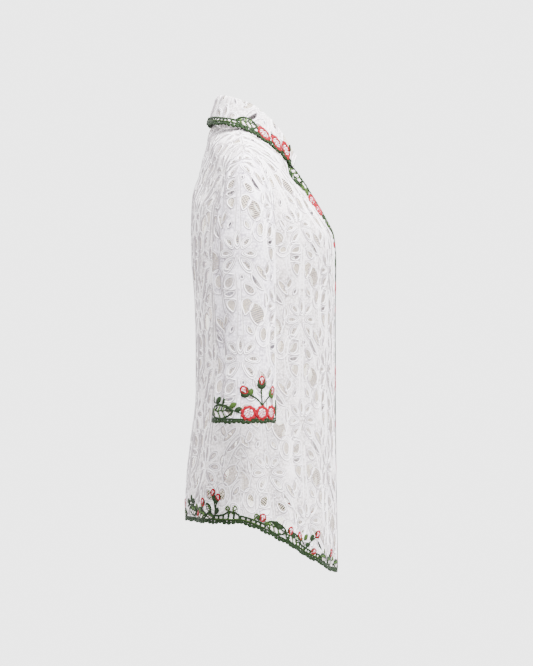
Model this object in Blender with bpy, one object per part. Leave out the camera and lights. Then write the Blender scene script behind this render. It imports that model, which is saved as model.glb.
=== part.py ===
"""Kebaya blouse in lace, in the hollow form it keeps when it is worn.

+Z is up, the fronts face -Y and the wearer's right side is at -X. The origin is the middle of
the neck opening at the height of the shoulder seams, where the shoulders carry the blouse.
Every sewn piece is a thin wall with its own node, and seams keep a small gap.
"""

import math

import bmesh
import bpy
import numpy as np

# Cloth and seams, metres
CLOTH = 0.0012
SEAM = 0.0003
EDGING_THICK = 0.0010
CENTRE_GAP = 0.0010
ARMHOLE_GAP = 0.0005

# Shoulders and neck
NECK_HALF = 0.068
TIP_HALF = 0.200
SHOULDER_SLOPE = 0.40
SHOULDER_SET = 0.085
SHOULDER_FADE = 0.22
SHOULDER_ROUND = 0.020
BACK_NECK_DOWN = 0.0170
BACK_NECK_RISE = 0.0100
ROUNDNESS = 2.3

# The torso, a row for each section: how far it lies below the shoulder line, half its width,
# its depth in front of and behind the side seam, and the seam's own place along Y
BODY_COLUMNS = ("down", "half_width", "front", "back", "seam_y")
BODY_SECTIONS = (
    (0.000, 0.208, 0.0001, 0.0001, 0.006),
    (0.004, 0.208, 0.0170, 0.0165, 0.006),
    (0.014, 0.208, 0.0340, 0.0320, 0.006),
    (0.029, 0.207, 0.0560, 0.0430, 0.007),
    (0.049, 0.206, 0.0745, 0.0480, 0.008),
    (0.070, 0.206, 0.0900, 0.0570, 0.008),
    (0.088, 0.206, 0.1015, 0.0635, 0.008),
    (0.117, 0.205, 0.1190, 0.0765, 0.009),
    (0.145, 0.205, 0.1345, 0.0820, 0.009),
    (0.175, 0.205, 0.1475, 0.0850, 0.009),
    (0.205, 0.205, 0.1490, 0.0862, 0.009),
    (0.280, 0.203, 0.1490, 0.0800, 0.010),
    (0.380, 0.200, 0.1500, 0.0770, 0.011),
    (0.440, 0.201, 0.1510, 0.0760, 0.012),
    (0.515, 0.205, 0.1525, 0.0835, 0.013),
    (0.594, 0.212, 0.1545, 0.0900, 0.014),
    (0.730, 0.222, 0.1570, 0.0920, 0.014),
)

# Front neck edge and armhole edges, against the same height
NECK_COLUMNS = ("down", "edge_x")
NECK_EDGE = (
    (0.000, NECK_HALF),
    (0.025, 0.0645),
    (0.056, 0.0550),
    (0.112, 0.0285),
    (0.170, CENTRE_GAP),
)
ARMHOLE_COLUMNS = ("down", "front_x", "back_x")
ARMHOLE = (
    (0.000, 0.2000, 0.2000),
    (0.012, 0.1900, 0.1880),
    (0.030, 0.1870, 0.1820),
    (0.070, 0.1885, 0.1840),
    (0.120, 0.1945, 0.1900),
    (0.160, 0.1975, 0.1930),
    (0.185, 0.2005, 0.1975),
    (0.200, 0.2035, 0.2020),
    (0.208, 0.2050, 0.2050),
)
V_DOWN = NECK_EDGE[-1][0]
UNDERARM_DOWN = ARMHOLE[-1][0]

# Hem
HEM_SIDE = 0.622
HEM_BACK_DIP = 0.010
HEM_FRONT_DIP = 0.096
HEM_EASE = 1.2

# Sleeve rings from below the armhole past the elbow to the cuff: how far each lies below the
# origin, its centre and its half sizes
SLEEVE_COLUMNS = ("down", "x", "y", "across", "deep")
SLEEVE_RINGS = (
    (0.2360, 0.2625, 0.0070, 0.0470, 0.0470),
    (0.3000, 0.2695, 0.0035, 0.0460, 0.0440),
    (0.3750, 0.2776, 0.0018, 0.0450, 0.0420),
    (0.4150, 0.2820, 0.0045, 0.0460, 0.0440),
    (0.4620, 0.2870, 0.0065, 0.0480, 0.0463),
)

# How the sleeve cap springs from the armhole and falls to the first ring
CAP_SHARE = 0.42
CAP_SPRING = 0.085
CAP_DROOP = 0.12
CAP_FALL = 0.090
UNDERARM_SPRING = 0.010
UNDERARM_FALL = 0.014

# Collar sections, from the middle of the back to where the collar runs out on the front edge:
# the roll along its top, and the outer edge that falls onto the shoulder
COLLAR_COLUMNS = ("turn", "roll_x", "roll_y", "roll_z", "edge_x", "edge_y", "edge_z")
COLLAR_SECTIONS = (
    (0.00, 0.0000, 0.0530, 0.0585, 0.0000, 0.0710, 0.0130),
    (0.20, 0.0330, 0.0430, 0.0555, 0.0430, 0.0580, 0.0095),
    (0.40, 0.0560, 0.0200, 0.0475, 0.0780, 0.0300, 0.0030),
    (0.55, 0.0620, -0.0030, 0.0385, 0.0860, 0.0030, -0.0060),
    (0.70, 0.0635, -0.0270, 0.0200, 0.0830, -0.0230, -0.0210),
    (0.85, 0.0610, -0.0500, -0.0050, 0.0720, -0.0480, -0.0400),
    (1.00, 0.0540, -0.0745, -0.0440, 0.0590, -0.0700, -0.0620),
)
COLLAR_END_DOWN = 0.062
ROLL_WIDTH = 0.0035
ROLL_LEAN = 0.6
STAND_LIFT = 0.0012

# Embroidered edging
EDGING_WIDTH = 0.0105
CUFF_EDGING = 0.0085

# Mesh divisions
FRONT_ACROSS, NECK_ACROSS, BODY_ROWS = 9, 3, 22
BACK_ACROSS = 2 * (NECK_ACROSS + FRONT_ACROSS)
UPPER_ROWS = 0.5
UPPER_CROWDING = 1.5
SLEEVE_ROWS = 14
COLLAR_ALONG, STAND_ROWS, FALL_ROWS = 32, 5, 5
UNDERARM_ROW = int(BODY_ROWS * UPPER_ROWS)
MID_TURN = math.pi / 4.0
CURVE_SAMPLES = 60
SLANT_STEP = 0.004
SHARP_EDGE = math.radians(40.0)

# Finishes
LACE_WHITE, LACE_ROUGHNESS = (0.86, 0.85, 0.87), 0.8
EDGING_GREEN, EDGING_ROUGHNESS = (0.05, 0.09, 0.04), 0.7


def ease(t):
    """Runs from 0 to 1 with flat ends."""
    t = np.clip(t, 0.0, 1.0)
    return t * t * (3.0 - 2.0 * t)


def blend(a, b, t):
    """The point a share t of the way from a to b."""
    return a + (b - a) * t


def smooth_curve(xs, ys):
    """A cubic through the rows of a table that never swings past them."""
    step = np.diff(xs)
    slope = np.diff(ys) / step
    tangent = np.concatenate([slope[:1], np.zeros(len(slope) - 1), slope[-1:]])
    for k in range(1, len(slope)):
        if slope[k - 1] * slope[k] > 0.0:
            tangent[k] = 2.0 * slope[k - 1] * slope[k] / (slope[k - 1] + slope[k])

    def value(x):
        x = np.clip(x, xs[0], xs[-1])
        k = np.clip(np.searchsorted(xs, x, side="right") - 1, 0, len(step) - 1)
        t = (x - xs[k]) / step[k]
        rise = ys[k] + (ys[k + 1] - ys[k]) * ease(t)
        start = (tangent[k] * step[k]) * t * (1.0 - t) ** 2
        end = (tangent[k + 1] * step[k]) * t * t * (1.0 - t)
        return rise + start - end

    return value


def table_curves(columns, rows):
    """One smooth curve for each named column of a table, against its first column."""
    table = np.array(rows, float)
    return {name: smooth_curve(table[:, 0], table[:, k]) for k, name in enumerate(columns) if k}


BODY = table_curves(BODY_COLUMNS, BODY_SECTIONS)
NECK = table_curves(NECK_COLUMNS, NECK_EDGE)
ARM = table_curves(ARMHOLE_COLUMNS, ARMHOLE)
SLEEVE = table_curves(SLEEVE_COLUMNS, SLEEVE_RINGS)
COLLAR = table_curves(COLLAR_COLUMNS, COLLAR_SECTIONS)


def angle_at(x, down):
    """The turn round the torso, 0 at the middle and a quarter turn at the side seam."""
    share = np.clip(x / BODY["half_width"](down), 0.0, 1.0)
    return np.arcsin(share ** (ROUNDNESS / 2.0))


def body_point(angle, down, face):
    """A point of the torso's outer face: face is -1 in front and 1 behind, and x is not negative."""
    x = BODY["half_width"](down) * np.sin(angle) ** (2.0 / ROUNDNESS)
    depth = BODY["front" if face < 0 else "back"](down)
    left = 1.0 - ease(down / SHOULDER_FADE)
    y = BODY["seam_y"](down) + left * SHOULDER_SET * (TIP_HALF - x)
    y = y + face * (SEAM / 2.0 + depth * np.clip(np.cos(angle), 0.0, 1.0) ** (2.0 / ROUNDNESS))
    z = -down - left * SHOULDER_SLOPE * (np.hypot(x, SHOULDER_ROUND) - NECK_HALF)
    if face > 0:
        z = z + left * BACK_NECK_RISE * np.clip(1.0 - (x / NECK_HALF) ** 2, 0.0, 1.0) ** 2
    return np.stack(np.broadcast_arrays(x, y, z), -1)


def hem_down(angle, face):
    """How far the hem lies below the shoulder line: level behind, and dipping to the front points."""
    turn = 1.0 - angle / (math.pi / 2.0)
    if face > 0:
        return HEM_SIDE + HEM_BACK_DIP * turn**2
    return HEM_SIDE + HEM_FRONT_DIP * np.sin(turn * math.pi / 2.0) ** HEM_EASE


def row_down(share, angle, face):
    """Height of a row: rows crowd over the shoulder, and the last one is the hem."""
    upper = UNDERARM_DOWN * np.clip(share / UPPER_ROWS, 0.0, 1.0) ** UPPER_CROWDING
    lower = np.clip((share - UPPER_ROWS) / (1.0 - UPPER_ROWS), 0.0, 1.0)
    return blend(upper, hem_down(angle, face), lower)


def outer_angle(down, face):
    """The armhole edge above the underarm, and the side seam below it."""
    edge = ARM["front_x" if face < 0 else "back_x"](down)
    return np.where(down < UNDERARM_DOWN, angle_at(edge, down), math.pi / 2.0)


def front_inner_angle(down):
    """The neck edge down to the V's point, and the opening edge below it."""
    return angle_at(np.where(down < V_DOWN, NECK["edge_x"](down), CENTRE_GAP), down)


def front_grid():
    """A front panel for the wearer's left: rows from the shoulder down, columns to the side."""
    share = np.linspace(0.0, 1.0, BODY_ROWS + 1)[:, None]
    across = np.linspace(0.0, 1.0, FRONT_ACROSS + 1)[None, :]
    level = row_down(share, MID_TURN, -1)
    angle = blend(front_inner_angle(level), outer_angle(level, -1), across)
    return body_point(angle, row_down(share, angle, -1), -1)


def back_neck_down(x):
    """The back neck's scoop below the shoulder line."""
    return BACK_NECK_DOWN * np.clip(1.0 - (x / NECK_HALF) ** 2, 0.0, 1.0)


def back_grid():
    """The whole back panel: rows from the neck and shoulders down, columns from right to left."""
    share = np.linspace(0.0, 1.0, BODY_ROWS + 1)[:, None]
    neck = angle_at(NECK_HALF, 0.0) / outer_angle(0.0, 1)
    beyond = np.linspace(neck, 1.0, FRONT_ACROSS + 1)
    half = np.concatenate([np.linspace(0.0, neck, NECK_ACROSS + 1)[:-1], beyond])
    across = np.concatenate([half[:0:-1], half])[None, :]
    angle = outer_angle(row_down(share, MID_TURN, 1), 1) * across
    top_x = body_point(outer_angle(0.0, 1) * across, 0.0, 1)[..., 0]
    scoop = back_neck_down(top_x) * (1.0 - ease(share / UPPER_ROWS))
    points = body_point(angle, row_down(share, angle, 1) + scoop, 1)
    points[:, : BACK_ACROSS // 2, 0] *= -1.0
    return points


def armhole_loop():
    """The armhole edge of both panels, from the shoulder tip down the front and up the back.

    Each point comes with its turn round the sleeve, from 0 at the shoulder tip to a full circle.
    """
    front = front_grid()[: UNDERARM_ROW + 1, -1]
    back = back_grid()[: UNDERARM_ROW + 1, -1]
    turns = []
    for edge in (front, back):
        run = np.concatenate([[0.0], np.cumsum(np.linalg.norm(np.diff(edge, axis=0), axis=1))])
        turns.append(math.pi * run / run[-1])
    loop = np.concatenate([front[:-1], (front[-1:] + back[-1:]) / 2.0, back[-2:0:-1]])
    return loop, np.concatenate([turns[0], 2.0 * math.pi - turns[1][-2:0:-1]])


def sleeve_ring(down, turn):
    """Points of an oval ring: turn 0 is the outer side, and a quarter turn is the front."""
    x = SLEEVE["x"](down) + SLEEVE["across"](down) * np.cos(turn)
    y = SLEEVE["y"](down) - SLEEVE["deep"](down) * np.sin(turn)
    return np.stack([x, y, np.full_like(turn, -down)], -1)


def sleeve_grid():
    """The left sleeve: rows from the armhole to the cuff, columns round it."""
    start, turn = armhole_loop()
    start = start + (ARMHOLE_GAP, 0.0, 0.0)
    top_down, cuff_down = SLEEVE_RINGS[0][0], SLEEVE_RINGS[-1][0]
    top = sleeve_ring(top_down, turn)
    over = (0.5 + 0.5 * np.cos(turn))[:, None]
    spring = start + blend(UNDERARM_SPRING, CAP_SPRING, over) * np.array((1.0, 0.0, -CAP_DROOP))
    fall = top + blend(UNDERARM_FALL, CAP_FALL, over) * np.array((0.0, 0.0, 1.0))
    rows = []
    for share in np.linspace(0.0, 1.0, SLEEVE_ROWS + 1):
        if share < CAP_SHARE:
            t = share / CAP_SHARE
            cap = start * (1 - t) ** 3 + spring * 3 * t * (1 - t) ** 2
            rows.append(cap + fall * 3 * t * t * (1 - t) + top * t**3)
        else:
            down = blend(top_down, cuff_down, (share - CAP_SHARE) / (1.0 - CAP_SHARE))
            rows.append(sleeve_ring(down, turn))
    return np.array(rows), turn


def mirrored(grid):
    """The same grid on the wearer's right."""
    return grid * (-1.0, 1.0, 1.0)


def neck_seam(turn):
    """Points along the neck edge from the middle of the back to where the collar ends."""
    x = NECK_HALF * np.linspace(0.0, 1.0, CURVE_SAMPLES)
    behind = body_point(angle_at(x, back_neck_down(x)), back_neck_down(x), 1)
    down = COLLAR_END_DOWN * np.linspace(0.0, 1.0, CURVE_SAMPLES) ** UPPER_CROWDING
    ahead = body_point(front_inner_angle(down), down, -1)
    edge = np.concatenate([behind, ahead])
    run = np.concatenate([[0.0], np.cumsum(np.linalg.norm(np.diff(edge, axis=0), axis=1))])
    return np.stack([np.interp(turn * run[-1], run, edge[:, k]) for k in range(3)], -1)


def collar_section(turn, across):
    """A point of the collar: across runs 0 to 1 up the stand and 1 to 2 down the fall."""
    foot = neck_seam(turn) + (0.0, 0.0, STAND_LIFT)
    roll = np.stack([COLLAR[f"roll_{k}"](turn) for k in "xyz"], -1)
    edge = np.stack([COLLAR[f"edge_{k}"](turn) for k in "xyz"], -1)
    side = (edge - foot) * (1.0, 1.0, 0.0)
    side = side / np.linalg.norm(side, axis=-1, keepdims=True) * ROLL_WIDTH
    low, high = (foot, blend(foot, roll, ROLL_LEAN)), (roll - side, roll)
    if across > 1.0:
        low, high = (edge, blend(edge, roll, ROLL_LEAN)), (roll + side, roll)
        across = 2.0 - across
    t = across
    rising = low[0] * (1 - t) ** 3 + low[1] * 3 * t * (1 - t) ** 2
    return rising + high[0] * 3 * t * t * (1 - t) + high[1] * t**3


def collar_column(turn):
    """The collar's points at one turn: up the stand, down the fall, and the edging's width last."""
    stand = [collar_section(turn, share) for share in np.linspace(0.0, 1.0, STAND_ROWS + 1)]
    shares = np.linspace(2.0, 1.0, CURVE_SAMPLES)
    fall = np.array([collar_section(turn, share) for share in shares])
    run = np.concatenate([[0.0], np.cumsum(np.linalg.norm(np.diff(fall, axis=0), axis=1))])
    wanted = np.append(np.linspace(run[-1], EDGING_WIDTH, FALL_ROWS + 1)[1:], 0.0)
    return np.array(stand + [[np.interp(w, run, fall[:, k]) for k in range(3)] for w in wanted])


def collar_grid():
    """The collar: rows from its seam over the roll to its edge, columns from right to left."""
    turns = np.linspace(0.0, 1.0, COLLAR_ALONG // 2 + 1)
    left = np.stack([collar_column(turn) for turn in turns], axis=1)
    return np.concatenate([mirrored(left)[:, :0:-1], left], axis=1)


def strip_along(edge, inner, width):
    """Two rows of points: the strip of a panel that lies along its edge."""
    reach = inner - edge
    return np.stack([edge + reach / np.linalg.norm(reach, axis=-1, keepdims=True) * width, edge])


def front_strip(front, out):
    """The strip of a front along its neck edge and opening edge, and its directions."""
    down = row_down(np.linspace(0.0, 1.0, BODY_ROWS + 1), MID_TURN, -1)
    rows = np.flatnonzero(down > COLLAR_END_DOWN)[:-1]
    above, below = NECK["edge_x"](down[rows] - SLANT_STEP), NECK["edge_x"](down[rows] + SLANT_STEP)
    slant = (above - below) / (2.0 * SLANT_STEP)
    width = EDGING_WIDTH * np.sqrt(1.0 + slant**2)[:, None]
    strip = strip_along(front[rows, 0], front[rows, 1], width)
    hem = strip_along(front[-1, :2], front[-2, :2], EDGING_WIDTH + SEAM)[0]
    last = strip_along(hem[0], hem[1], EDGING_WIDTH)
    strip = np.concatenate([strip, last[:, None]], axis=1)
    return strip, np.stack([np.append(out[rows, 0], out[-1:, 0], axis=0)] * 2)


def normals(grid, closed=False):
    """Directions square to a grid of points, along (down the rows) x (along the columns)."""
    down = np.gradient(grid, axis=0)
    if closed:
        along = np.roll(grid, -1, axis=1) - np.roll(grid, 1, axis=1)
    else:
        along = np.gradient(grid, axis=1)
    square = np.cross(down, along)
    return square / np.linalg.norm(square, axis=2, keepdims=True)


def keep_in_plane(square, axis):
    """Turns the directions on a seam into the seam's own plane, so the two walls stay apart."""
    square[..., axis] = 0.0
    square /= np.linalg.norm(square, axis=-1, keepdims=True)


def cloth_material(name, colour, roughness):
    """A plain finish for a sewn piece."""
    material = bpy.data.materials.new(name)
    material.use_nodes = True
    shader = material.node_tree.nodes["Principled BSDF"]
    shader.inputs["Base Color"].default_value = (*colour, 1.0)
    shader.inputs["Roughness"].default_value = roughness
    shader.inputs["Metallic"].default_value = 0.0
    return material


def wall(name, outer, inner, material, closed=False):
    """A closed wall between two grids of points, as one object."""
    rows, columns = outer.shape[:2]
    mesh = bmesh.new()
    skins = [[[mesh.verts.new(p) for p in row] for row in skin] for skin in (outer, inner)]
    spans = range(columns if closed else columns - 1)
    for skin in skins:
        for j in range(rows - 1):
            for i in spans:
                k = (i + 1) % columns
                mesh.faces.new((skin[j][i], skin[j][k], skin[j + 1][k], skin[j + 1][i]))
    for j in (0, rows - 1):
        for i in spans:
            k = (i + 1) % columns
            mesh.faces.new((skins[0][j][i], skins[0][j][k], skins[1][j][k], skins[1][j][i]))
    if not closed:
        for i in (0, columns - 1):
            for j in range(rows - 1):
                a, b = skins[0][j][i], skins[0][j + 1][i]
                mesh.faces.new((a, b, skins[1][j + 1][i], skins[1][j][i]))
    bmesh.ops.recalc_face_normals(mesh, faces=mesh.faces)
    bmesh.ops.triangulate(mesh, faces=mesh.faces)
    data = bpy.data.meshes.new(name)
    mesh.to_mesh(data)
    mesh.free()
    data.shade_smooth()
    data.set_sharp_from_angle(angle=SHARP_EDGE)
    data.materials.append(material)
    piece = bpy.data.objects.new(name, data)
    bpy.context.collection.objects.link(piece)
    return piece


def make_pair(name, outer, inner, material, closed=False):
    """A piece on the wearer's left and its mirror on the right."""
    wall(f"{name}_left", outer, inner, material, closed)
    wall(f"{name}_right", mirrored(outer), mirrored(inner), material, closed)


def edging(strip, out):
    """The two skins of an edging that lies on a strip of its panel."""
    return strip + (SEAM + EDGING_THICK) * out, strip + SEAM * out


def make_fronts(lace, green):
    """Both fronts with the edging down their opening edges and along their hems."""
    front = front_grid()
    out = normals(front)
    keep_in_plane(out[0], 1)
    keep_in_plane(out[UNDERARM_ROW:, -1], 1)
    make_pair("front", front, front - CLOTH * out, lace)
    make_pair("front_edging", *edging(*front_strip(front, out)), green)
    strip = strip_along(front[-1], front[-2], EDGING_WIDTH)
    make_pair("hem_edging", *edging(strip, np.stack([out[-1]] * 2)), green)


def make_back(lace, green):
    """The back with the edging along its hem."""
    back = back_grid()
    out = -normals(back)
    keep_in_plane(out[0], 1)
    keep_in_plane(out[UNDERARM_ROW:, 0], 1)
    keep_in_plane(out[UNDERARM_ROW:, -1], 1)
    wall("back", back, back - CLOTH * out, lace)
    strip = strip_along(back[-1], back[-2], EDGING_WIDTH)
    wall("hem_edging_back", *edging(strip, np.stack([out[-1]] * 2)), green)


def make_sleeves(lace, green):
    """Both sleeves, set to the armholes, with the edging round their cuffs."""
    sleeve, turn = sleeve_grid()
    out = -normals(sleeve, closed=True)
    out[0] = np.stack([0.0 * turn, -np.sin(turn), np.cos(turn)], -1)
    make_pair("sleeve", sleeve, sleeve - CLOTH * out, lace, closed=True)
    strip = strip_along(sleeve[-1], sleeve[-2], CUFF_EDGING)
    make_pair("cuff_edging", *edging(strip, np.stack([out[-1]] * 2)), green, closed=True)


def make_collar(lace, green):
    """The folded collar with the edging along its outer edge."""
    collar = collar_grid()
    out = -normals(collar)
    wall("collar", collar, collar - CLOTH * out, lace)
    wall("collar_edging", *edging(collar[-2:], out[-2:]), green)


def main():
    for old in list(bpy.data.objects):
        bpy.data.objects.remove(old)
    lace = cloth_material("white_lace", LACE_WHITE, LACE_ROUGHNESS)
    green = cloth_material("green_edging", EDGING_GREEN, EDGING_ROUGHNESS)
    make_fronts(lace, green)
    make_back(lace, green)
    make_sleeves(lace, green)
    make_collar(lace, green)


main()
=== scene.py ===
# %% [markdown]
# A kebaya blouse in white openwork lace with embroidered edging.
#
# The blouse keeps the hollow form it has when it is worn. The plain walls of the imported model
# give its size and place, and this lesson dresses them: the same surfaces are worked out again
# on a finer grid, the lace's openings are cut into that grid, cords and bars are laid on it, and
# the coloured embroidery is built as threads with real height.
#
# +Z is up, the fronts face -Y and the wearer's right side is at -X.

# %% Load the frame
import math

import bpy
import numpy as np
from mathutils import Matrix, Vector


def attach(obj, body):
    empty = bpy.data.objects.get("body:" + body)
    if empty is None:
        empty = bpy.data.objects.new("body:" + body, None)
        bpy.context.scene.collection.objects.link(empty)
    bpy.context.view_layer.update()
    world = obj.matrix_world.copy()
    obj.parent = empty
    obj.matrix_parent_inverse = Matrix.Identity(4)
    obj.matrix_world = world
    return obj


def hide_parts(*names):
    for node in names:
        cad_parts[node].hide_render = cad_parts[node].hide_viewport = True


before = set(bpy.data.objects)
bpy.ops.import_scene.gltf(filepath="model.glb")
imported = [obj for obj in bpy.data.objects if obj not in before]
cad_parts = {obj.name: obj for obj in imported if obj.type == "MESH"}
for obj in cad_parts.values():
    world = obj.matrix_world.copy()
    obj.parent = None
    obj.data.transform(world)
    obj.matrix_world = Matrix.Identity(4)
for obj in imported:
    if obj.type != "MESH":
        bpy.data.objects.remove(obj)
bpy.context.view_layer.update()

print("frame loaded:", len(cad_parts), "nodes")

# %% [markdown]
# ## The form of the blouse
#
# The torso is an oval that changes with height. A short table gives the oval's half width and
# its depth in front and behind at a few heights, and a smooth curve runs through each column.
# Tables keep the form easy to adjust: one row is one place on the body.

# %% Sizes shared with the solid model
SEAM = 0.0003
CENTRE_GAP = 0.0010
ARMHOLE_GAP = 0.0005
NECK_HALF = 0.068
TIP_HALF = 0.200
SHOULDER_SLOPE = 0.40
SHOULDER_SET = 0.085
SHOULDER_FADE = 0.22
SHOULDER_ROUND = 0.020
BACK_NECK_DOWN = 0.0170
BACK_NECK_RISE = 0.0100
ROUNDNESS = 2.3
QUARTER = math.pi / 2.0
MID_TURN = math.pi / 4.0

BODY_COLUMNS = ("down", "half_width", "front", "back", "seam_y")
BODY_SECTIONS = (
    (0.000, 0.208, 0.0001, 0.0001, 0.006),
    (0.004, 0.208, 0.0170, 0.0165, 0.006),
    (0.014, 0.208, 0.0340, 0.0320, 0.006),
    (0.029, 0.207, 0.0560, 0.0430, 0.007),
    (0.049, 0.206, 0.0745, 0.0480, 0.008),
    (0.070, 0.206, 0.0900, 0.0570, 0.008),
    (0.088, 0.206, 0.1015, 0.0635, 0.008),
    (0.117, 0.205, 0.1190, 0.0765, 0.009),
    (0.145, 0.205, 0.1345, 0.0820, 0.009),
    (0.175, 0.205, 0.1475, 0.0850, 0.009),
    (0.205, 0.205, 0.1490, 0.0862, 0.009),
    (0.280, 0.203, 0.1490, 0.0800, 0.010),
    (0.380, 0.200, 0.1500, 0.0770, 0.011),
    (0.440, 0.201, 0.1510, 0.0760, 0.012),
    (0.515, 0.205, 0.1525, 0.0835, 0.013),
    (0.594, 0.212, 0.1545, 0.0900, 0.014),
    (0.730, 0.222, 0.1570, 0.0920, 0.014),
)

# %% Edges of the neck, armholes and hem
NECK_COLUMNS = ("down", "edge_x")
NECK_EDGE = (
    (0.000, NECK_HALF),
    (0.025, 0.0645),
    (0.056, 0.0550),
    (0.112, 0.0285),
    (0.170, CENTRE_GAP),
)
ARMHOLE_COLUMNS = ("down", "front_x", "back_x")
ARMHOLE = (
    (0.000, 0.2000, 0.2000),
    (0.012, 0.1900, 0.1880),
    (0.030, 0.1870, 0.1820),
    (0.070, 0.1885, 0.1840),
    (0.120, 0.1945, 0.1900),
    (0.160, 0.1975, 0.1930),
    (0.185, 0.2005, 0.1975),
    (0.200, 0.2035, 0.2020),
    (0.208, 0.2050, 0.2050),
)
V_DOWN = NECK_EDGE[-1][0]
UNDERARM_DOWN = ARMHOLE[-1][0]
HEM_SIDE = 0.622
HEM_BACK_DIP = 0.010
HEM_FRONT_DIP = 0.096
HEM_EASE = 1.2

# %% Sleeve rings and collar sections
SLEEVE_COLUMNS = ("down", "x", "y", "across", "deep")
SLEEVE_RINGS = (
    (0.2360, 0.2625, 0.0070, 0.0470, 0.0470),
    (0.3000, 0.2695, 0.0035, 0.0460, 0.0440),
    (0.3750, 0.2776, 0.0018, 0.0450, 0.0420),
    (0.4150, 0.2820, 0.0045, 0.0460, 0.0440),
    (0.4620, 0.2870, 0.0065, 0.0480, 0.0463),
)
CAP_SPRING = 0.085
CAP_DROOP = 0.12
CAP_FALL = 0.090
UNDERARM_SPRING = 0.010
UNDERARM_FALL = 0.014
COLLAR_COLUMNS = ("turn", "roll_x", "roll_y", "roll_z", "edge_x", "edge_y", "edge_z")
COLLAR_SECTIONS = (
    (0.00, 0.0000, 0.0530, 0.0585, 0.0000, 0.0710, 0.0130),
    (0.20, 0.0330, 0.0430, 0.0555, 0.0430, 0.0580, 0.0095),
    (0.40, 0.0560, 0.0200, 0.0475, 0.0780, 0.0300, 0.0030),
    (0.55, 0.0620, -0.0030, 0.0385, 0.0860, 0.0030, -0.0060),
    (0.70, 0.0635, -0.0270, 0.0200, 0.0830, -0.0230, -0.0210),
    (0.85, 0.0610, -0.0500, -0.0050, 0.0720, -0.0480, -0.0400),
    (1.00, 0.0540, -0.0745, -0.0440, 0.0590, -0.0700, -0.0620),
)
COLLAR_END_DOWN = 0.062
ROLL_WIDTH = 0.0035
ROLL_LEAN = 0.6
STAND_LIFT = 0.0012

# %% [markdown]
# The curves through the tables are cubic pieces that never swing past the rows, so a bulge can't
# appear where no row asks for it.

# %% Smooth curves through a table
def ease(t):
    """Runs from 0 to 1 with flat ends."""
    t = np.clip(t, 0.0, 1.0)
    return t * t * (3.0 - 2.0 * t)


def blend(a, b, t):
    """The value a share t of the way from a to b."""
    return a + (b - a) * t


def smooth_curve(xs, ys):
    """A cubic through the rows of a table that never swings past them."""
    step = np.diff(xs)
    slope = np.diff(ys) / step
    tangent = np.concatenate([slope[:1], np.zeros(len(slope) - 1), slope[-1:]])
    for k in range(1, len(slope)):
        if slope[k - 1] * slope[k] > 0.0:
            tangent[k] = 2.0 * slope[k - 1] * slope[k] / (slope[k - 1] + slope[k])

    def value(x):
        x = np.clip(x, xs[0], xs[-1])
        k = np.clip(np.searchsorted(xs, x, side="right") - 1, 0, len(step) - 1)
        t = (x - xs[k]) / step[k]
        rise = ys[k] + (ys[k + 1] - ys[k]) * ease(t)
        start = (tangent[k] * step[k]) * t * (1.0 - t) ** 2
        end = (tangent[k + 1] * step[k]) * t * t * (1.0 - t)
        return rise + start - end

    return value


def cubic(a, b, c, d, t):
    """A point a share t of the way along the curve that a and d end and b and c pull."""
    return a * (1 - t) ** 3 + b * 3 * t * (1 - t) ** 2 + c * 3 * t * t * (1 - t) + d * t**3


def run_of(line):
    """Distance along a line to each of its points."""
    return np.concatenate([[0.0], np.cumsum(np.linalg.norm(np.diff(line, axis=0), axis=1))])


def read_line(wanted, run, line):
    """Points of a line at the wanted distances along it."""
    return np.stack([np.interp(wanted, run, line[:, k]) for k in range(line.shape[1])], -1)


def table_curves(columns, rows):
    """One smooth curve for each named column of a table, against its first column."""
    table = np.array(rows, float)
    return {name: smooth_curve(table[:, 0], table[:, k]) for k, name in enumerate(columns) if k}


BODY = table_curves(BODY_COLUMNS, BODY_SECTIONS)
NECK = table_curves(NECK_COLUMNS, NECK_EDGE)
ARM = table_curves(ARMHOLE_COLUMNS, ARMHOLE)
SLEEVE = table_curves(SLEEVE_COLUMNS, SLEEVE_RINGS)
COLLAR = table_curves(COLLAR_COLUMNS, COLLAR_SECTIONS)
print("curves ready:", len(BODY) + len(NECK) + len(ARM) + len(SLEEVE) + len(COLLAR))

# %% [markdown]
# ## Points of the torso
#
# A point of the torso is found from its turn round the body and its distance below the shoulder
# line. Near the top the oval tips over into the slope of the shoulder.

# %% Torso surface
def angle_at(x, down):
    """The turn round the torso, 0 at the middle and a quarter turn at the side seam."""
    share = np.clip(x / BODY["half_width"](down), 0.0, 1.0)
    return np.arcsin(share ** (ROUNDNESS / 2.0))


def body_point(angle, down, face):
    """A point of the torso's outer face: face is -1 in front and 1 behind, and x is not negative."""
    x = BODY["half_width"](down) * np.sin(angle) ** (2.0 / ROUNDNESS)
    depth = BODY["front" if face < 0 else "back"](down)
    left = 1.0 - ease(down / SHOULDER_FADE)
    y = BODY["seam_y"](down) + left * SHOULDER_SET * (TIP_HALF - x)
    y = y + face * (SEAM / 2.0 + depth * np.clip(np.cos(angle), 0.0, 1.0) ** (2.0 / ROUNDNESS))
    z = -down - left * SHOULDER_SLOPE * (np.hypot(x, SHOULDER_ROUND) - NECK_HALF)
    if face > 0:
        z = z + left * BACK_NECK_RISE * np.clip(1.0 - (x / NECK_HALF) ** 2, 0.0, 1.0) ** 2
    return np.stack(np.broadcast_arrays(x, y, z), -1)


def hem_down(angle, face):
    """How far the hem lies below the shoulder line: level behind, dipping to the front points."""
    turn = 1.0 - angle / QUARTER
    if face > 0:
        return HEM_SIDE + HEM_BACK_DIP * turn**2
    return HEM_SIDE + HEM_FRONT_DIP * np.sin(turn * QUARTER) ** HEM_EASE


UPPER_ROWS = 0.5
UPPER_CROWDING = 1.5


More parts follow.
